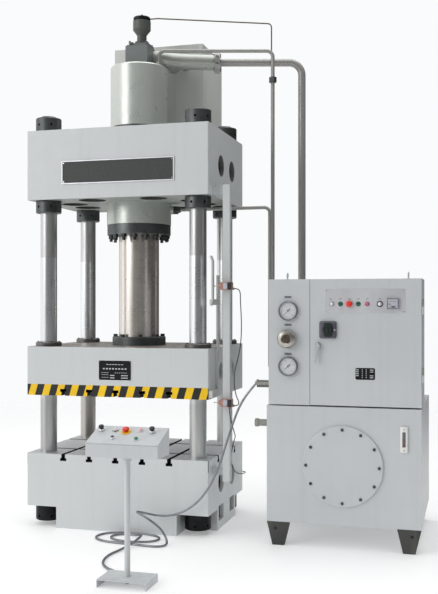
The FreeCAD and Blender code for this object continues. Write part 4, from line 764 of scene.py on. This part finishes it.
def ribbed_line():
    """Round section along a curve, swelling and shrinking at a steady pitch: a wound hose or a weld bead."""
    tree, given, result = growth(
        "ribbed line", {"Pitch": 0.005, "Radius": 0.008, "Depth": 0.0006, "Sides": 12})
    half = times(given["Pitch"], 0.5)
    line = add(tree, "GeometryNodeResampleCurve", {"Curve": given["Geometry"], "Length": half}, mode="LENGTH")
    number = add(tree, "GeometryNodeInputIndex").outputs[0]
    lower = times(maths("MODULO", number, 2.0), given["Depth"])
    ring = add(tree, "GeometryNodeCurvePrimitiveCircle", {"Resolution": given["Sides"], "Radius": 1.0})
    return close_growth(tree, given, result, add(tree, "GeometryNodeCurveToMesh", {
        "Curve": line.outputs[0], "Profile Curve": ring.outputs[0], "Fill Caps": True,
        "Scale": maths("SUBTRACT", given["Radius"], lower)}))


ARC = arc_of_fittings()
GRID = grid_of_fittings()
RIBBED = ribbed_line()


def grown(base, tree, material, place=None, **values):
    """Plain mesh that a growth makes from a base shape, put in its place."""
    values["Material"] = material

    def grow(carrier):
        modifier = carrier.modifiers.new("growth", "NODES")
        modifier.node_group = tree
        for item in tree.interface.items_tree:
            if item.item_type == "SOCKET" and item.in_out == "INPUT" and item.name in values:
                modifier[item.identifier] = values[item.name]
    mesh = baked(base, grow)
    if place is not None:
        mesh.transform(place)
    return mesh


def ring_of(base, count, radius, start, step, material, place=None):
    """Copies round an arc, with its angles in degrees."""
    return grown(base, ARC, material, place, Count=count, Radius=radius, Start=math.radians(start),
                 Step=math.radians(step))


def grid_of(base, width, height, columns, rows, material, place=None):
    return grown(base, GRID, material, place, Width=width, Height=height, Columns=columns, Rows=rows)


# ---------------------------------------------------------------- cords
def route_curve(route, radius=0.0, resolution=0):
    """Smooth line along a route, or with a radius a tube."""
    data = lines([route], "NURBS")
    data.resolution_u = 12
    data.splines[0].order_u = 3
    data.splines[0].use_endpoint_u = True
    if radius:
        data.bevel_depth = radius
        data.bevel_resolution = resolution
        data.use_fill_caps = True
    return data


def line_points(route):
    """Points along the smooth line of a route."""
    return [vertex.co.copy() for vertex in baked(route_curve(route)).vertices]


def ribbed(name, curve, material, slot, replaced=(), **values):
    """Wound hose or weld bead along a curve."""
    mesh = grown(curve, RIBBED, material, **values)
    mesh.shade_smooth()
    return as_piece(name, mesh, "frame", replaced)


def make_conduit():
    points = line_points(CONDUIT_ROUTE)
    hose = ribbed("flexible_conduit_hose", route_curve(CONDUIT_ROUTE), conduit_metal, "conduit_metal",
                  ["flexible_conduit"], Pitch=0.0052, Radius=CONDUIT_DIAMETER / 2, Depth=0.0007, Sides=14)


def make_cable(name, route, node):
    points = line_points(route)
    data = route_curve(route, CABLE_DIAMETER / 2, 4)
    data.materials.append(cable_rubber)
    cable = as_piece(name, data, "frame", [node])


# ---------------------------------------------------------------- the construction in its finishes
# slanting bars on the slide: pitch, slant, where the first yellow one starts, and its share
BAR_PITCH = 0.1075
BAR_SLANT = 0.3
BAR_START = 10 * BAR_PITCH + 0.6605 + BAR_SLANT
BAR_SHARE = 0.485


def recoated(material, name):
    """Copy of a material that is to be changed: its shader's inputs, colour, roughness and place."""
    copy = material.copy()
    copy.name = name
    sockets = copy.node_tree.nodes["Principled BSDF"].inputs
    colour, rough = (sockets[label].links[0].from_socket for label in ("Base Color", "Roughness"))
    return copy, sockets, colour, rough, own_place(copy.node_tree)


def hazard_front():
    """Frame paint with slanting yellow and black bars along the lower front edge of the slide."""
    material, sockets, coat, rough, place = recoated(frame_paint, "hazard front")
    x, y, z = axes(place)
    slanted = maths("SUBTRACT", x, times(z, BAR_SLANT))
    bars = maths("FRACT", maths("DIVIDE", plus(slanted, BAR_START), BAR_PITCH))
    black = mixed(cloudy(place, 40, 5, 0.4, 0.7), srgb("141617"), srgb("222425"))
    sun = mixed(cloudy(place, 18, 5, 0.35, 0.7), srgb("fdd012"), srgb("f0c010"))
    band = mixed(span(bars, BAR_SHARE + 0.012, BAR_SHARE), black, sun)
    front = span(y, PLATEN_FRONT + 0.0012, PLATEN_FRONT + 0.0006)
    put(sockets["Base Color"], mixed(front, coat, band))
    return material


# height up to which the slide's bushes polish the columns
COLUMN_POLISH_TOP = 1.945


def stained_columns():
    """Column chrome, dull above the bushes' reach and brownish under the slide, mostly at the back left."""
    material, sockets, colour, rough, place = recoated(column_chrome, "stained chrome")
    x, y, z = axes(place)
    low = span(z, 0.99, 0.90)
    corner = times(span(y, 0.20, 0.25), span(x, -0.45, -0.50))
    patches = span(noise(place, 1.0, 5, (14, 14, 1.2)), 0.3, 0.7, 0.6, 1.0)
    stain = mixed(corner, srgb("888882"), srgb("74623e"))
    colour = mixed(times(times(low, patches), 0.65), colour, stain)
    high = span(z, COLUMN_POLISH_TOP - 0.004, COLUMN_POLISH_TOP + 0.006)
    dull = times(times(high, patches), 0.45)
    put(sockets["Base Color"], mixed(dull, colour, srgb("827c74")))
    put(sockets["Roughness"], plus(rough, times(maths("MAXIMUM", low, high), 0.07)))
    return material


def inside(half_x, half_y, low, high):
    """Test for faces in the middle of the press between two heights."""
    return lambda at, way: abs(at.x) < half_x and abs(at.y) < half_y and low < at.z < high


def above(height):
    return lambda at, way: at.z > height


def ahead_of(y, x=0.0, z=0.0, reach=9.0):
    """Test for faces further to the front than Y, near a place."""
    return lambda at, way: at.y < y and abs(at.x - x) < reach and abs(at.z - z) < reach


def over_console(at):
    return at.z - console_height(at.y)


# how far forward the backs of the door's lenses are, and how high the tops of the console's plates
DOOR_LENS_BACK = -0.5158
CONSOLE_PLATE_TOP = 0.0062

# faces that differ from the rest of their piece: (finish, test on the face's middle and direction)
ZONES = {
    "bed_table": [
        (frame_paint, lambda at, way: abs(at.x) > 0.6845 or abs(at.y) > 0.4775),
        # painted shade inside the table's T-slots
        (recess_shade, inside(0.684, 0.477, 0.0, 0.5293))],
    # painted shade inside the slide plate's T-slots
    "slide_plate": [(recess_shade, inside(0.684, 0.477, 0.9507, 1.0293))],
    "crown_frame": [
        # painted shade: the crown's under face in a darker copy of the frame paint
        (underside_shade, lambda at, way: at.z < 2.3605 and way.z < -0.9),
        # painted shade on the walls of the crown's side openings
        (hole_wall_shade, lambda at, way: 0.6512 < abs(at.x) < 0.6838 and abs(way.x) < 0.5 and abs(at.y) < 0.3
            and 2.42 < at.z < 2.80),
        # painted shade inside the hollow crown
        (inside_shade, inside(0.651, 0.444, 2.361, 2.826))],
    "slide_frame": [
        # painted shade inside the hollow slide
        (inside_shade, inside(0.656, 0.449, 1.031, 1.271)),
        (oily_top, lambda at, way: at.z > 1.2985 and way.z > 0.9)],
    # painted shade inside the hollow bed
    "bed_frame": [(inside_shade, inside(0.656, 0.449, 0.151, 0.449))],
    "regulator_knob": [(knob_centre, ahead_of(-0.556, 1.241, 1.376, 0.030))],
    "columns": [(column_end, above(2.95))],
    "rod_side_pipe": [(nut_black, lambda at, way: at.x < 0.325 and at.z > 2.25)],
    "prefill_valve": [(cap_black, above(3.739))],
    "pressure_pipe": [(nut_black, lambda at, way: 3.258 < at.z < 3.306 and at.x > 0.9)],
    "oil_tank": [
        (foot_paint, lambda at, way: at.z < 0.1565),
        (fitting_grey, lambda at, way: at.x < 1.099)],
    "manifold": [(black_plastic, lambda at, way: at.z > 1.411 and abs(at.x - 1.26) > 0.046)],
    "door_instruments": [
        (isolator_grey, lambda at, way: at.z > 1.55 and at.x < 1.8 and at.y > DOOR_LENS_BACK),
        (white_plastic, ahead_of(DOOR_LENS_BACK, 1.537, BUTTON_HEIGHT, 0.016)),
        (pink_plastic, ahead_of(DOOR_LENS_BACK, PINK_X, BUTTON_HEIGHT, 0.016)),
        (isolator_grey, ahead_of(0.0, ISOLATOR_X, ISOLATOR_HEIGHT, 0.058)),
        (bright_steel, ahead_of(0.0, 1.446, 1.337, 0.020))],
    "key_switch": [(white_plastic, ahead_of(-0.5178))],
    "pedestal_selector": [(white_plastic, lambda at, way: over_console(at) > 0.0085)],
    "isolator_knob": [(isolator_green, ahead_of(-0.5362))],
    "console_instruments": [
        (plate_silver, lambda at, way: over_console(at) < CONSOLE_PLATE_TOP),
        (pale_pink, lambda at, way: at.x > 0.57 and at.y > -1.58 and over_console(at) > CONSOLE_PLATE_TOP),
        (pale_green, lambda at, way: at.x > 0.57 and at.y < -1.61 and over_console(at) > CONSOLE_PLATE_TOP),
        (print_dark, lambda at, way: at.x < 0.50 and over_console(at) > 0.0125)],
    "cabinet_door": [(fitting_grey, lambda at, way: at.x > 2.1135)],
}

# corners rounded more than the rest: (radius, test on an edge's ends)
ROUNDED_CORNERS = {
    "door_instruments": (0.012, lambda at: abs(abs(at.x - ISOLATOR_X) - 0.056) < 0.001
                         and abs(abs(at.z - ISOLATOR_HEIGHT) - 0.056) < 0.001),
    "level_gauge": (0.008, lambda at: min(abs(at.z - z) for z in (0.652, 0.818)) < 0.001),
}
# pieces whose form is changed a little
RESHAPED = {"cabinet_shell": turn_lifting_eyes, "door_handle": taper_lever}

# heights where two pieces meet flush, with no broken edge between them
FLUSH_JOINTS = {"bed_frame": 0.450, "bed_table": 0.450, "slide_frame": 1.030, "slide_plate": 1.030}

# finish, slot, width of the broken edges and the pieces
FINISHES = [
    (frame_paint, "frame_paint", 0.0018, ["bed_frame", "slide_frame", "crown_frame"]),
    (prefill_paint, "frame_paint", 0.0018, ["prefill_tank"]),
    # the suction tube in the darkened paint that paints its shade
    (tube_shaded_paint, "pipe_paint", 0.0008, ["suction_tube"]),
    (bar_paint, "frame_paint", 0.0008, ["switch_bar"]),
    (table_steel, "table_steel", 0.0012, ["bed_table"]),
    (rod_steel, "rod_steel", 0.0010, ["piston_rod"]),
    (cap_black, "nut_black", 0.0010, ["bed_nuts"]),
    (nut_black, "nut_black", 0.0010, ["crown_under_nuts", "crown_top_nuts", "gland_ring", "rod_flange"]),
    (bolt_black, "bolt_steel", 0.0006, ["gland_bolts", "rod_flange_bolts"]),
    (foot_paint, "bolt_steel", 0.0006, ["tank_cover_bolts"]),
    (cylinder_paint, "cylinder_paint", 0.0015, ["cylinder_barrel"]),
    (block_paint, "cylinder_paint", 0.0015, ["valve_block"]),
    (valve_paint, "valve_dark", 0.0008, ["prefill_valve"]),
    (bush_iron, "bush_iron", 0.0010, ["slide_bushes"]),
    (pipe_paint, "pipe_paint", 0.0008, ["return_pipe", "pressure_pipe", "rod_side_pipe"]),
    (pilot_paint, "pipe_paint", 0.0005, ["pilot_tube"]),
    (trip_paint, "trip_steel", 0.0010, ["trip_carrier"]),
    (switch_copper, "switch_case", 0.0008, ["limit_switches"]),
    (bright_steel, "plunger_steel", 0.0003, ["upper_plunger", "lower_plunger"]),
    (unit_paint, "unit_paint", 0.0008, ["oil_tank", "cabinet_shell", "cabinet_door",
                                        "pedestal_stand", "console_box"]),
    (white_plastic, "level_glass", 0.0008, ["level_gauge"]),
    (motor_paint, "motor_paint", 0.0008, ["motor", "pump"]),
    (manifold_steel, "manifold_steel", 0.0010, ["manifold"]),
    (gauge_rim, "gauge_case", 0.0006, ["pressure_gauges"]),
    (black_plastic, "needle_black", 0.0002, ["upper_needle", "lower_needle"]),
    (knob_steel, "knob_steel", 0.0008, ["regulator_knob"]),
    (handle_steel, "handle_chrome", 0.0010, ["door_handle"]),
    (meter_grey, "instrument_plastic", 0.0006, ["door_instruments"]),
    (white_plastic, "instrument_plastic", 0.0006, ["console_instruments"]),
    (black_plastic, "isolator_black", 0.0006, ["isolator_knob", "pedestal_push_left", "pedestal_push_right",
                                               "pedestal_selector", "key_switch"]),
    (green_plastic, "button_green", 0.0005, ["start_button", "run_button"]),
    (red_plastic, "button_red", 0.0008, ["cabinet_stop_button", "pedestal_stop_button"]),
    (fitting_grey, "fitting_grey", 0.0008, ["cable_fittings"]),
]


def dress_construction():
    for material, slot, width, nodes in FINISHES:
        for node in nodes:
            dressed(node, material, width)
    dressed("slide_plate", hazard_front(), 0.0012)
    dressed("columns", stained_columns(), 0.0015)


# ---------------------------------------------------------------- plates and dials
def middle(area, front):
    """Place in the middle of an area, which is (X from, to) and (Z from, to), on a front face."""
    x, z = (sum(ends) / 2 for ends in area)
    return on_front(x, front, z)


def sheet(name, area, front, thickness, corner, material, body="frame", slot="instrument_plastic", rim=0.0):
    """Flat sheet, or with a rim only its border, on a face that looks to the front."""
    width, height = (end - start for start, end in area)
    outlines = [rounded_outline(width, height, corner)]
    if rim:
        outlines.append(rounded_outline(width - 2 * rim, height - 2 * rim, max(corner - rim, 0.0005)))
    seated(name, sheet_shape(outlines, thickness), material, body, middle(area, front))


def raised_bar(width, height, thickness=0.0003):
    """One short bar of print, its back on Z=0."""
    shape = bmesh.new()
    bmesh.ops.create_cube(shape, size=1.0)
    return placed(meshed(shape), shift(0, 0, thickness / 2) @ Matrix.Diagonal((width, height, thickness, 1)))


def bars_of_print(name, rows, front, material, body="frame"):
    """Lines of plain bars where a plate has its print: X, Z, width, height and how many at what pitch."""
    parts = []
    for x, z, width, height, *repeat in rows:
        columns, pitch = repeat or (1, 0.0)
        length = pitch * (columns - 1)
        place = on_front(x + length / 2, front, z)
        parts.append(grid_of(raised_bar(width, height), length, 0.0, columns, 1, material, place))
    seated(name, joined(parts), material, body, weighted=False)


def corner_screws(name, area, front, inset, radius, body="frame"):
    """Four small screws in the corners of a plate."""
    width, height = (end - start - 2 * inset for start, end in area)
    mesh = grid_of(screw_head(radius, radius * 0.6), width, height, 2, 2, bright_steel, middle(area, front))
    seated(name, mesh, bright_steel, body)


def make_plates():
    """Blank framed plate on the crown, data plate on the slide, plates and labels on the cabinet."""
    for name, area, finish, body, face, border, screw in (
            ("crown_plate", CROWN_PLATE, plate_dark, "frame", (0.003, 0.004), (0.006, 0.005, 0.007),
             (0.016, 0.005)),
            ("slide_plate", SLIDE_PLATE, plate_black, "slide", (PLATE_THICKNESS, 0.008),
             (0.0022, 0.008, 0.004), (0.0105, 0.003))):
        thickness, corner, rim = border
        sheet(name + "_face", area, PLATEN_FRONT, *face, finish, body)
        sheet(name + "_border", area, PLATEN_FRONT, thickness, corner, plate_silver, body, "gauge_case", rim)
        corner_screws(name + "_screws", area, PLATEN_FRONT - face[0], *screw, body)
    left_bars = [(-0.098, z, 0.010, 0.003, 4, 0.014) for z in (1.122, 1.108, 1.089)]
    wide_bars = [(x, z, width, 0.006)
                 for z in (1.103, 1.086) for x, width in ((-0.022, 0.034), (0.070, 0.050))]
    bars_of_print("slide_plate_print", [
        (-0.058, 1.180, 0.016, 0.0045, 6, 0.022), (-0.086, 1.150, 0.014, 0.009, 8, 0.0235),
        (0.002, 1.122, 0.010, 0.003, 6, 0.016), *left_bars, *wide_bars,
    ], PLATEN_FRONT - PLATE_THICKNESS, print_light, "slide")
    sheet("rating_plate_face", RATING_PLATE, CABINET_FRONT, 0.0012, 0.009, plate_black, "cabinet_door")
    bars_of_print("rating_plate_print", [
        (1.704 + 0.050 * column, 1.178 - 0.0125 * row, width, 0.005)
        for row in range(5) for column, width in ((0, 0.018), (0.65, 0.006), (1.15, 0.006), (1.85, 0.022))
        if (row, column) not in ((2, 1.85), (4, 0))
    ], CABINET_FRONT - 0.0012, print_light, "cabinet_door")
    panel = CABINET_FRONT - PLATE_THICKNESS
    sheet("control_plate", CONTROL_PLATE, CABINET_FRONT, PLATE_THICKNESS, 0.004, plate_silver, "cabinet_door")
    corner_screws("control_plate_screws", CONTROL_PLATE, panel, 0.008, 0.003, "cabinet_door")
    bars_of_print("control_plate_print", [
        (x, 1.640, 0.018, 0.003) for x in (1.530, START_X, STOP_X, RUN_X, PINK_X, KEY_X)
    ], panel, print_dark, "cabinet_door")
    for level, height in LABEL_HEIGHTS.items():
        area = ((1.222, 1.268), (height - 0.006, height + 0.006))
        sheet(level + "_gauge_label", area, CABINET_FRONT, 0.0008, 0.001, print_dark)
        bars_of_print(level + "_gauge_label_print", [(1.228, height, 0.005, 0.0045, 5, 0.0085)],
                      CABINET_FRONT - 0.0008, meter_grey)
    meter = CABINET_FRONT - 0.022
    border, window = ((1.897, 1.969), (1.576, 1.643)), ((1.905, 1.961), (1.598, 1.633))
    sheet("meter_border", border, meter, 0.0012, 0.003, isolator_grey, "cabinet_door", rim=0.0025)
    sheet("meter_window", window, meter, 0.0006, 0.002, meter_pale, "cabinet_door")
    bars_of_print("meter_scale", [
        (1.911, 1.622, 0.0012, 0.006, 9, 0.0055), (1.911, 1.606, 0.022, 0.004), (1.937, 1.588, 0.020, 0.008)
    ], meter - 0.0006, print_dark, "cabinet_door")


def numeral(text, size):
    """Dial number as a thin mesh about its middle."""
    data = bpy.data.curves.new("numeral", "FONT")
    data.body = text
    data.size = size
    data.align_x = "CENTER"
    data.align_y = "CENTER"
    data.extrude = 0.0001
    data.resolution_u = 2
    return baked(data)


# dial angles in degrees: where the scale starts, and its whole sweep
DIAL_START = 225
DIAL_SWEEP = 270


def make_dials():
    """White dials with their scales and numbers, behind thin glasses."""
    front = CABINET_FRONT - 0.0081
    for level, height in GAUGE_HEIGHTS.items():
        face = sheet_shape([circle_points(0.0555, 64), circle_points(0.0034, 20)], 0.0005, 0.0001)
        seated(level + "_dial", face, dial_white, place=on_front(GAUGE_X, front, height))
        place = on_front(GAUGE_X, front - 0.0005, height)
        parts = []
        for length, width, count, radius in ((0.004, 0.0007, 51, 0.0475), (0.008, 0.0013, 11, 0.0455)):
            step = -DIAL_SWEEP / (count - 1)
            tick = raised_bar(length, width)
            parts.append(ring_of(tick, count, radius, DIAL_START, step, black_plastic, place))
        for number in range(6):
            angle = math.radians(DIAL_START - DIAL_SWEEP / 5 * number)
            spot = shift(0.0345 * math.cos(angle), 0.0345 * math.sin(angle), 0.0001)
            parts.append(placed(numeral(str(5 * number), 0.0105), place @ spot))
        seated(level + "_dial_scale", joined(parts), black_plastic, weighted=False)
        glass = turned([(0, 0), (0.0557, 0), (0.0557, 0.0012), (0.030, 0.0026), (0, 0.0032)])
        seated(level + "_dial_glass", glass, clear_glass,
               place=on_front(GAUGE_X, CABINET_FRONT - 0.0205, height))


# ---------------------------------------------------------------- fittings
def screw_head(radius, height, sides=18):
    """Socket head screw standing on Z=0."""
    edge = 0.15 * radius
    rim = [(radius, 0), (radius, height - edge), (radius - edge, height), (0.55 * radius, height)]
    return turned([(0, 0), *rim, (0.52 * radius, 0.45 * height), (0, 0.45 * height)], sides)


def hex_head(radius, height):
    """Hexagon head standing on Z=0."""
    return turned([(0, 0), (radius, 0), (radius, 0.82 * height), (0.86 * radius, height), (0, height)], 6)


def collar_ring(inner, outer, height):
    """Bezel or base ring standing on Z=0."""
    edge = 0.18 * height
    broken = [(outer, height - 2 * edge), (outer - 2 * edge, height)]
    return turned([(inner, 0), (outer, 0), *broken, (inner, height)], 40, True)


def make_rings():
    """Bezels and bases of buttons and switches, push caps, the isolator's mark and grip, and the plug's ribs
    in a near black that paints the shade of its grooves.
    """
    panel = CABINET_FRONT - PLATE_THICKNESS
    for name, x, inner, outer, material in (
            ("start", START_X, 0.0118, 0.0155, black_plastic), ("run", RUN_X, 0.0118, 0.0155, black_plastic),
            ("stop", STOP_X, 0.0118, 0.0165, bright_steel), ("key", KEY_X, 0.0145, 0.0200, black_plastic)):
        seated(name + "_bezel", collar_ring(inner, outer, 0.005), material, "cabinet_door",
               on_front(x, panel, BUTTON_HEIGHT))
    seated("stop_ring", collar_ring(0.0118, 0.030, 0.004), yellow_plastic, place=on_console(0.506, -1.556))
    seated("selector_base", collar_ring(0.0145, 0.0185, 0.004), bright_steel,
           place=on_console(0.438, -1.549))
    cap = [(0, 0.008), (0.0106, 0.008), (0.0106, 0.0205), (0.0142, 0.0215), (0.0158, 0.024), (0.0158, 0.031),
           (0.0135, 0.0345), (0.006, 0.0358), (0, 0.036)]
    for side, x in (("left", 0.353), ("right", 0.665)):
        place = on_console(x, -1.551)
        base = collar_ring(0.0118, 0.0175, 0.014)
        body = "pedestal_push_" + side
        seated(side + "_push_base", base, bright_steel, place=place)
        seated(side + "_push_cap", turned(cap), black_plastic, body, place)
    seated("isolator_mark", disc(0.0050, 0.0006, 20), white_plastic, "cabinet_door",
           place=on_front(1.5580, CABINET_FRONT - 0.016, ISOLATOR_HEIGHT))
    sheet("isolator_grip", ((1.492, 1.538), (1.391, 1.483)), CABINET_FRONT - 0.0185, 0.026, 0.009,
          isolator_green, "isolator_knob", "isolator_black")
    bars_of_print("plug_ribs", [(1.038, 1.057, 0.0075, 0.014, 6, 0.014), (1.080, 1.090, 0.090, 0.004)],
                  -0.503, recess_shade)


def make_screws():
    """Cap screws and plugs on the flanges."""
    for name, x, y in (("front_left", -0.573, -0.355), ("front_right", 0.573, -0.355),
                       ("back_left", -0.573, 0.355), ("back_right", 0.573, 0.355)):
        mesh = ring_of(screw_head(0.0062, 0.006), 6, 0.0765, 15, 60, bolt_black, shift(x, y, 1.330))
        seated(name + "_bush_screws", mesh, bolt_black, "slide")
    mesh = grid_of(screw_head(0.0105, 0.011), 0.112, 0.112, 2, 2, bolt_black, shift(VALVE_X, 0, 3.560))
    seated("valve_flange_screws", mesh, bolt_black)
    mesh = grid_of(hex_head(0.009, 0.009), 0.145, 0.205, 2, 2, cap_black, shift(VALVE_X, 0, 3.530))
    seated("valve_block_plugs", mesh, cap_black)
    turn = shift(0.549, 0.230, RETURN_HEIGHT) @ about("Z", math.atan2(0.269, 0.963)) @ about("Y")
    sides = [ring_of(hex_head(0.0075, 0.007), 6, 0.060, 30, 60, bolt_black,
                     turn @ about("X", over) @ shift(0, 0, 0.022)) for over in (0.0, math.pi)]
    seated("return_flange_bolts", joined(sides), bolt_black)
    mesh = grid_of(screw_head(0.0045, 0.003), 0.0, 0.136, 1, 2, bright_steel,
                   on_front(LEVEL_X, CABINET_FRONT - 0.016, 0.735))
    seated("level_gauge_screws", mesh, bright_steel)


def make_level_column():
    """Glass column with the red oil line in the level gauge."""
    front = CABINET_FRONT - 0.008
    backing = ((1.9935, 2.0145), (0.688, 0.782))
    sheet("level_backing", backing, front, 0.0012, 0.001, plate_dark, slot="level_glass")
    for name, radius, foot, height, sides, material, slot in (
            ("level_tube", 0.0045, 0.690, 0.090, 20, clear_glass, "level_glass"),
            ("level_oil", 0.003, 0.692, 0.030, 16, level_red, "button_red")):
        seated(name, disc(radius, height, sides), material,
               place=shift(LEVEL_X, front - 0.0052, foot))


def make_switch_covers():
    """Pale covers and dark ends on the two limit switches."""
    front = -0.465
    for level, height in (("upper", 1.730), ("lower", 0.930)):
        cover = ((0.786, 0.814), (height - 0.021, height + 0.021))
        end = ((0.818, 0.8445), (height - 0.025, height + 0.025))
        sheet(level + "_switch_cover", cover, front, 0.004, 0.004, meter_pale, slot="switch_case")
        sheet(level + "_switch_end", end, front, 0.003, 0.003, black_plastic, slot="switch_case")
        corner_screws(level + "_switch_screws", cover, front - 0.004, 0.005, 0.0022)


def make_louvres():
    """Pressed louvres high on the cabinet's back."""
    mesh = grid_of(raised_bar(0.110, 0.007, 0.004), 0.42, 0.147, 3, 8, unit_paint,
                   shift(1.613, -0.160, 1.610) @ about("X", -QUARTER))
    seated("cabinet_louvres", mesh, unit_paint, weighted=False)


def make_motor_end():
    """Ribbed grille on the motor's fan cowl, over a dark disc that paints the shade inside the cowl."""
    end = shift(2.012, 0.190, 1.102) @ about("Y")
    seated("fan_opening", disc(0.084, 0.0006), recess_shade, place=end)
    parts = [ring_of(raised_bar(0.062, 0.0034, 0.0030), 28, 0.054, 0, 360 / 28, motor_paint, end)]
    for radius in (0.022, 0.044, 0.064, 0.084):
        parts.append(placed(collar_ring(radius - 0.0022, radius + 0.0022, 0.0036), end))
    seated("fan_grille", joined(parts), motor_paint)


WIDE_TUBE_RADIUS = 0.0585
WIDE_TUBE_ROUTE = [TUBE_END, (0.150, 0.060, SUCTION_HEIGHT), (0.190, 0.112, 3.464), (0.262, 0.150, 3.459),
                   (0.360, 0.177, 3.455), (0.528, 0.224, RETURN_HEIGHT)]


def make_wide_tube():
    """Wide painted tube that runs from the valve block to the return line's flange."""
    mesh = baked(route_curve(WIDE_TUBE_ROUTE, WIDE_TUBE_RADIUS, 10))
    seated("wide_tube", mesh, tube_shaded_paint, weighted=False)


COVER_EXTRA = 0.003


def make_tank_cover():
    """Round inspection cover, a little thicker than the construction's, with a steep broken edge."""
    low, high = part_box("tank_cover")
    radius = (high.x - low.x) / 2
    face = high.y - low.y + COVER_EXTRA
    edge = [(radius, face - 0.004), (radius - 0.002, face - 0.001), (radius - 0.005, face)]
    mesh = turned([(0, 0), (radius, 0), *edge, (0, face)], 128)
    seated("tank_cover_finish", mesh, unit_paint, replaced=["tank_cover"],
           place=on_front((low.x + high.x) / 2, high.y, (low.z + high.z) / 2))


def make_feet_marks():
    """Slinging holes in the front feet of the oil tank, as rings round dark discs that paint the shade in the
    holes.
    """
    for name, x in (("left", 1.159), ("right", 2.054)):
        place = on_front(x, -0.508, 0.112)
        ring = collar_ring(0.0105, 0.0145, 0.0012)
        seated(name + "_foot_ring", ring, foot_paint, place=place)
        seated(name + "_foot_hole", disc(0.0108, 0.0004, 32), recess_shade, place=place)


def round_line(radius, place, sides=48):
    """Closed path round a pipe or a post."""
    return [place @ Vector((x, y, 0)) for x, y in circle_points(radius, sides)]


def weld_bead(name, points, radius, material, slot, closed=True):
    ribbed(name, lines([points], closed=closed), material, slot, Pitch=radius * 1.6, Radius=radius,
           Depth=radius * 0.22, Sides=8)


def make_console_lid():
    """Shadow gap under the front lip of the pedestal's sloping lid."""
    area = ((CONSOLE_LOW.x + 0.002, CONSOLE_HIGH.x - 0.002), (0.8135, 0.8150))
    sheet("console_lid_gap", area, CONSOLE_LOW.y, 0.0003, 0.0005, fitting_grey, slot="unit_paint")


def make_welds():
    """Weld beads where sheet, pipes and posts join."""
    seam = [(x, y, 2.861) for x, y in ((-0.315, 0.470), (-0.315, 0.290), (0.414, 0.290), (0.414, 0.470))]
    weld_bead("prefill_tank_weld", seam, 0.0045, prefill_paint, "frame_paint", False)
    for name, place, radius, bead in (
            ("suction_block_weld", shift(*TUBE_END) @ about("Y"), 0.057, 0.0045),
            ("suction_tank_weld", on_front(0.178, TANK_FRONT, SUCTION_HEIGHT), 0.057, 0.004),
            ("return_tank_weld", on_front(0.276, TANK_FRONT, RETURN_HEIGHT), 0.0285, 0.004)):
        weld_bead(name, round_line(radius, place), bead, pipe_paint, "pipe_paint")
    for name, radius, height in (("pole_foot_weld", 0.017, 0.0455), ("pole_head_weld", 0.026, 0.7395)):
        line = round_line(radius, shift(0.5225, -1.580, height), 32)
        weld_bead(name, line, 0.0028, unit_paint, "unit_paint")


make_camera()
make_conduit()
make_cable("upper_switch_cable", UPPER_CABLE_ROUTE, "switch_cable_upper")
make_cable("lower_switch_cable", LOWER_CABLE_ROUTE, "switch_cable_lower")
make_studio()
make_floor()
dress_construction()
make_plates()
make_dials()
make_rings()
make_screws()
make_level_column()
make_switch_covers()
make_louvres()
make_motor_end()
make_wide_tube()
make_tank_cover()
make_feet_marks()
make_console_lid()
make_welds()
